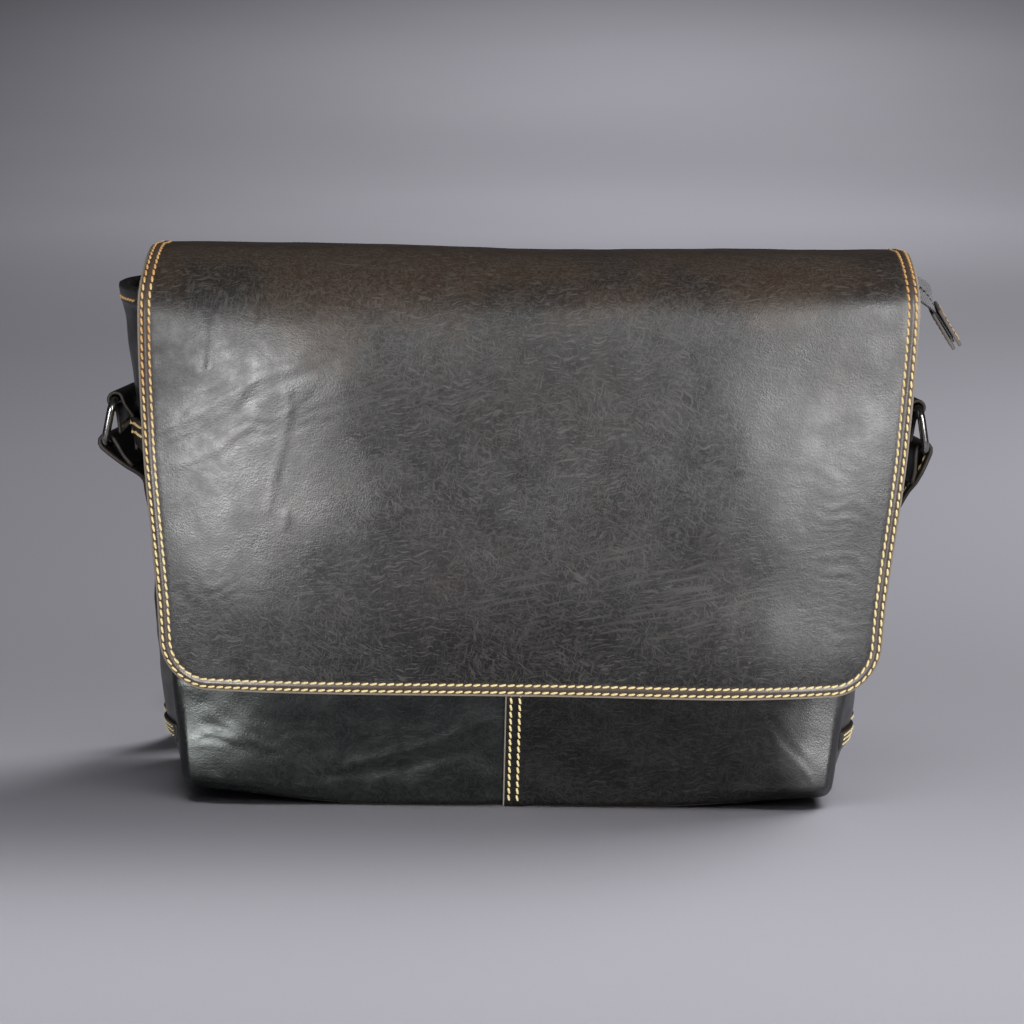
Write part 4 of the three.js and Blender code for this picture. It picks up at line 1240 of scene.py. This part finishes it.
TAIL_DOWN = Vector((math.cos(ZIP_TAIL_ANGLE), 0, math.sin(ZIP_TAIL_ANGLE)))
tilted = lambda degrees: Matrix.Rotation(-math.radians(degrees), 3, TAIL_DOWN) @ Vector((0, 1, 0))
TAIL_ACROSS = tilted(ZIP_TAIL_TILT)
TAIL_OUT = TAIL_DOWN.cross(TAIL_ACROSS)
TAB_TOP = Vector((ZIP_TAIL[-1][0], 0, ZIP_TAIL[-1][1]))


def make_teeth(tape, facing, name):
    edge, end = TAPE_WIDTH / 2 - TEETH_INSET, tape.along[-1] - TEETH_END
    line, normal = tape.track([(edge, TEETH_START), (edge, end)])
    side = np.cross(unit(np.gradient(line, axis=0)), normal)
    run = run_along(line)
    tracks = []
    for at in np.arange(FIRST_TOOTH[facing], run[-1], TOOTH_PITCH):
        middle, out, across = (sampled(at, run, values) for values in (line, normal, side))
        half = across * TOOTH_HALF_WIDTH
        bar = np.array([-half, half]) + middle - out * TOOTH_SINK
        track = (bar, np.array([out, out]))
        tracks.append((track, 2 * TOOTH_HALF_WIDTH, TOOTH_LENGTH, TOOTH_RADIUS, 0, 0, 0))
    points, faces = capsules(tracks)
    add_mesh(f"zip_teeth_{name}", points, faces, [look["teeth"]])


def make_zip():
    inside = LEATHER + LAY_GAP + TAPE_THICKNESS / 2 + UNDER_SHOULDER
    z = TAPE_RIM_HEIGHT
    for facing, name in ((-1, "front"), (1, "back")):
        rows = []
        for x in np.linspace(TAPE_RIM_FROM, TAPE_RIM_TO, 11):
            off = -front_face(x / widen(z), z) if facing < 0 else body("half_depth", z)
            rows.append((x, facing * (off - inside), z, 0, 0, 1))
        rows += [(x, facing * off, up, 0, -facing * wy, wz) for x, off, up, wy, wz in TAPE_OVER_GUSSET]
        spots = [(Vector((x, 0, up)), tilted(tilt)) for x, up, tilt in ZIP_TAIL]
        held = (ZIP_TAIL_INSIDE_TAB / 2, ZIP_TAIL_INSIDE_TAB)
        spots += [(TAB_TOP + TAIL_DOWN * reach, TAIL_ACROSS) for reach in held]
        rows += [(*(spot + wide * facing * TAPE_SPREAD), *(-facing * wide)) for spot, wide in spots]
        patch = ribbon(rows, TAPE_WIDTH, TAPE_THICKNESS, step=1.6, columns=15)
        shell(f"zip_tape_{name}", patch, [look["cloth"]] * 3, kind="cloth")
        make_teeth(patch, facing, name)


def make_end_tab():
    off = TAB_SLOT / 2 + TAB_LEAF / 2
    middle = TAB_TOP + TAIL_DOWN * (TAB_LENGTH / 2)
    reach = [*np.linspace(-TAB_HALF_WIDTH, TAB_HALF_WIDTH, 6)]
    turns = np.radians([60, 30, 0, -30, -60])
    path = [(a, off) for a in reach]
    path += [(TAB_HALF_WIDTH + off * math.cos(t), off * math.sin(t)) for t in turns]
    path += [(a, -off) for a in reach[::-1]]
    rows = [(*(middle + TAIL_ACROSS * a + TAIL_OUT * b), *TAIL_DOWN) for a, b in path]
    patch = ribbon(rows, TAB_LENGTH, TAB_LEAF, step=0.8, columns=24, facing=-1)
    looks = [look["strap"], look["tab_edge"], look["strap"]]
    shell("zip_end_tab", patch, looks)
    far, start, end = TAB_LENGTH / 2 - TAB_SEAM, TAB_SEAM, patch.along[-1] - TAB_SEAM
    corners = [(-far, start), (far, start), (far, end), (-far, end), (-far, start)]
    stitching("zip_end_tab_stitching", [patch.track(corners, 0.6)], END_TAB_PITCH, END_TAB_THREAD)


# Studio

FLOOR_REACH = 30.0
FLOOR_FLAT = 3.6
FLOOR_RISE = 0.03
FLOOR_LINES = 91


def make_floor():
    """A pale floor that turns up gently far away, all round."""
    lines = np.linspace(-FLOOR_REACH, FLOOR_REACH, FLOOR_LINES)
    x, y = np.meshgrid(lines, lines)
    z = FLOOR_RISE * np.maximum(0, np.hypot(x, y) - FLOOR_FLAT) ** 2
    quads = grid_quads(FLOOR_LINES, FLOOR_LINES)[:, ::-1]
    mesh = bpy.data.meshes.new("floor")
    mesh.from_pydata(np.stack([x, y, z], 2).reshape(-1, 3).tolist(), [], quads.tolist())
    mesh.polygons.foreach_set("use_smooth", np.ones(len(quads), bool))
    mesh.materials.append(look["floor"])
    floor = add_object("floor", mesh)
    return floor


WORLD_COLOUR = (0.95, 0.95, 1.0, 1)
WORLD_STRENGTH = 0.06
# Softboxes: place, aim, size, power, roll and spread in degrees
SOFTBOXES = {
    "left_box": ((-1.0, -2.0, 0.33), (-0.12, 0, 0.16), (0.36, 1.0), 37, -57, 180),
    "right_box": ((1.28, -1.8, 0.6), (0.14, 0, 0.14), (0.9, 1.3), 48, 14, 180),
    "high_box": ((0.75, -1.9, 1.05), (0.1, 0, 0.2), (1.5, 0.4), 4, 0, 180),
    "floor_box": ((0, -0.34, 1.0), (0, -0.34, 0), (1.3, 0.4), 1.2, 0, 52),
    "top_box": ((1.35, 0.9, 1.9), (0, 0, 0), (1.2, 1.2), 45, 0, 180),
    "back_box": ((0.35, 5.95, 2.7), (0.35, 5.95, 0), (0.8, 1.2), 17.8, 0, 112),
    "beyond_box": ((0.35, 3.7, 2.2), (0.35, 3.7, 0), (0.8, 1.2), 11.4, 0, 105),
}
NOT_REFLECTED = ("top_box", "back_box", "beyond_box")
# Boxes that leave the floor out, and the one that lights it alone
FLOOR_LINKS = {"left_box": "EXCLUDE", "right_box": "EXCLUDE", "high_box": "EXCLUDE", "floor_box": "INCLUDE"}


def make_light(floor):
    world = bpy.data.worlds.new("studio")
    world.use_nodes = True
    background = world.node_tree.nodes["Background"].inputs
    background["Color"].default_value = WORLD_COLOUR
    background["Strength"].default_value = WORLD_STRENGTH
    bpy.context.scene.world = world
    for name, (at, aim, size, power, roll, spread) in SOFTBOXES.items():
        data = bpy.data.lights.new(name, "AREA")
        data.shape = "RECTANGLE"
        data.size, data.size_y = size
        data.energy, data.spread = power, math.radians(spread)
        lamp = add_object(name, data)
        lamp.matrix_world = aimed(at, aim, roll)
        lamp.visible_camera = False
        lamp.visible_glossy = name not in NOT_REFLECTED
        if name in FLOOR_LINKS:
            group = bpy.data.collections.new(name + "_and_floor")
            group.objects.link(floor)
            group.collection_objects[0].light_linking.link_state = FLOOR_LINKS[name]
            lamp.light_linking.receiver_collection = group


make_camera()
make_flap()
make_panels()
for sign, word in SIDES:
    make_gusset(sign, word)
make_base()
for sign, word in SIDES:
    make_ring(sign, word)
    make_tab(sign, word)
make_strap()
make_zip()
make_end_tab()
make_light(make_floor())
bpy.context.scene.view_settings.view_transform = "Standard"
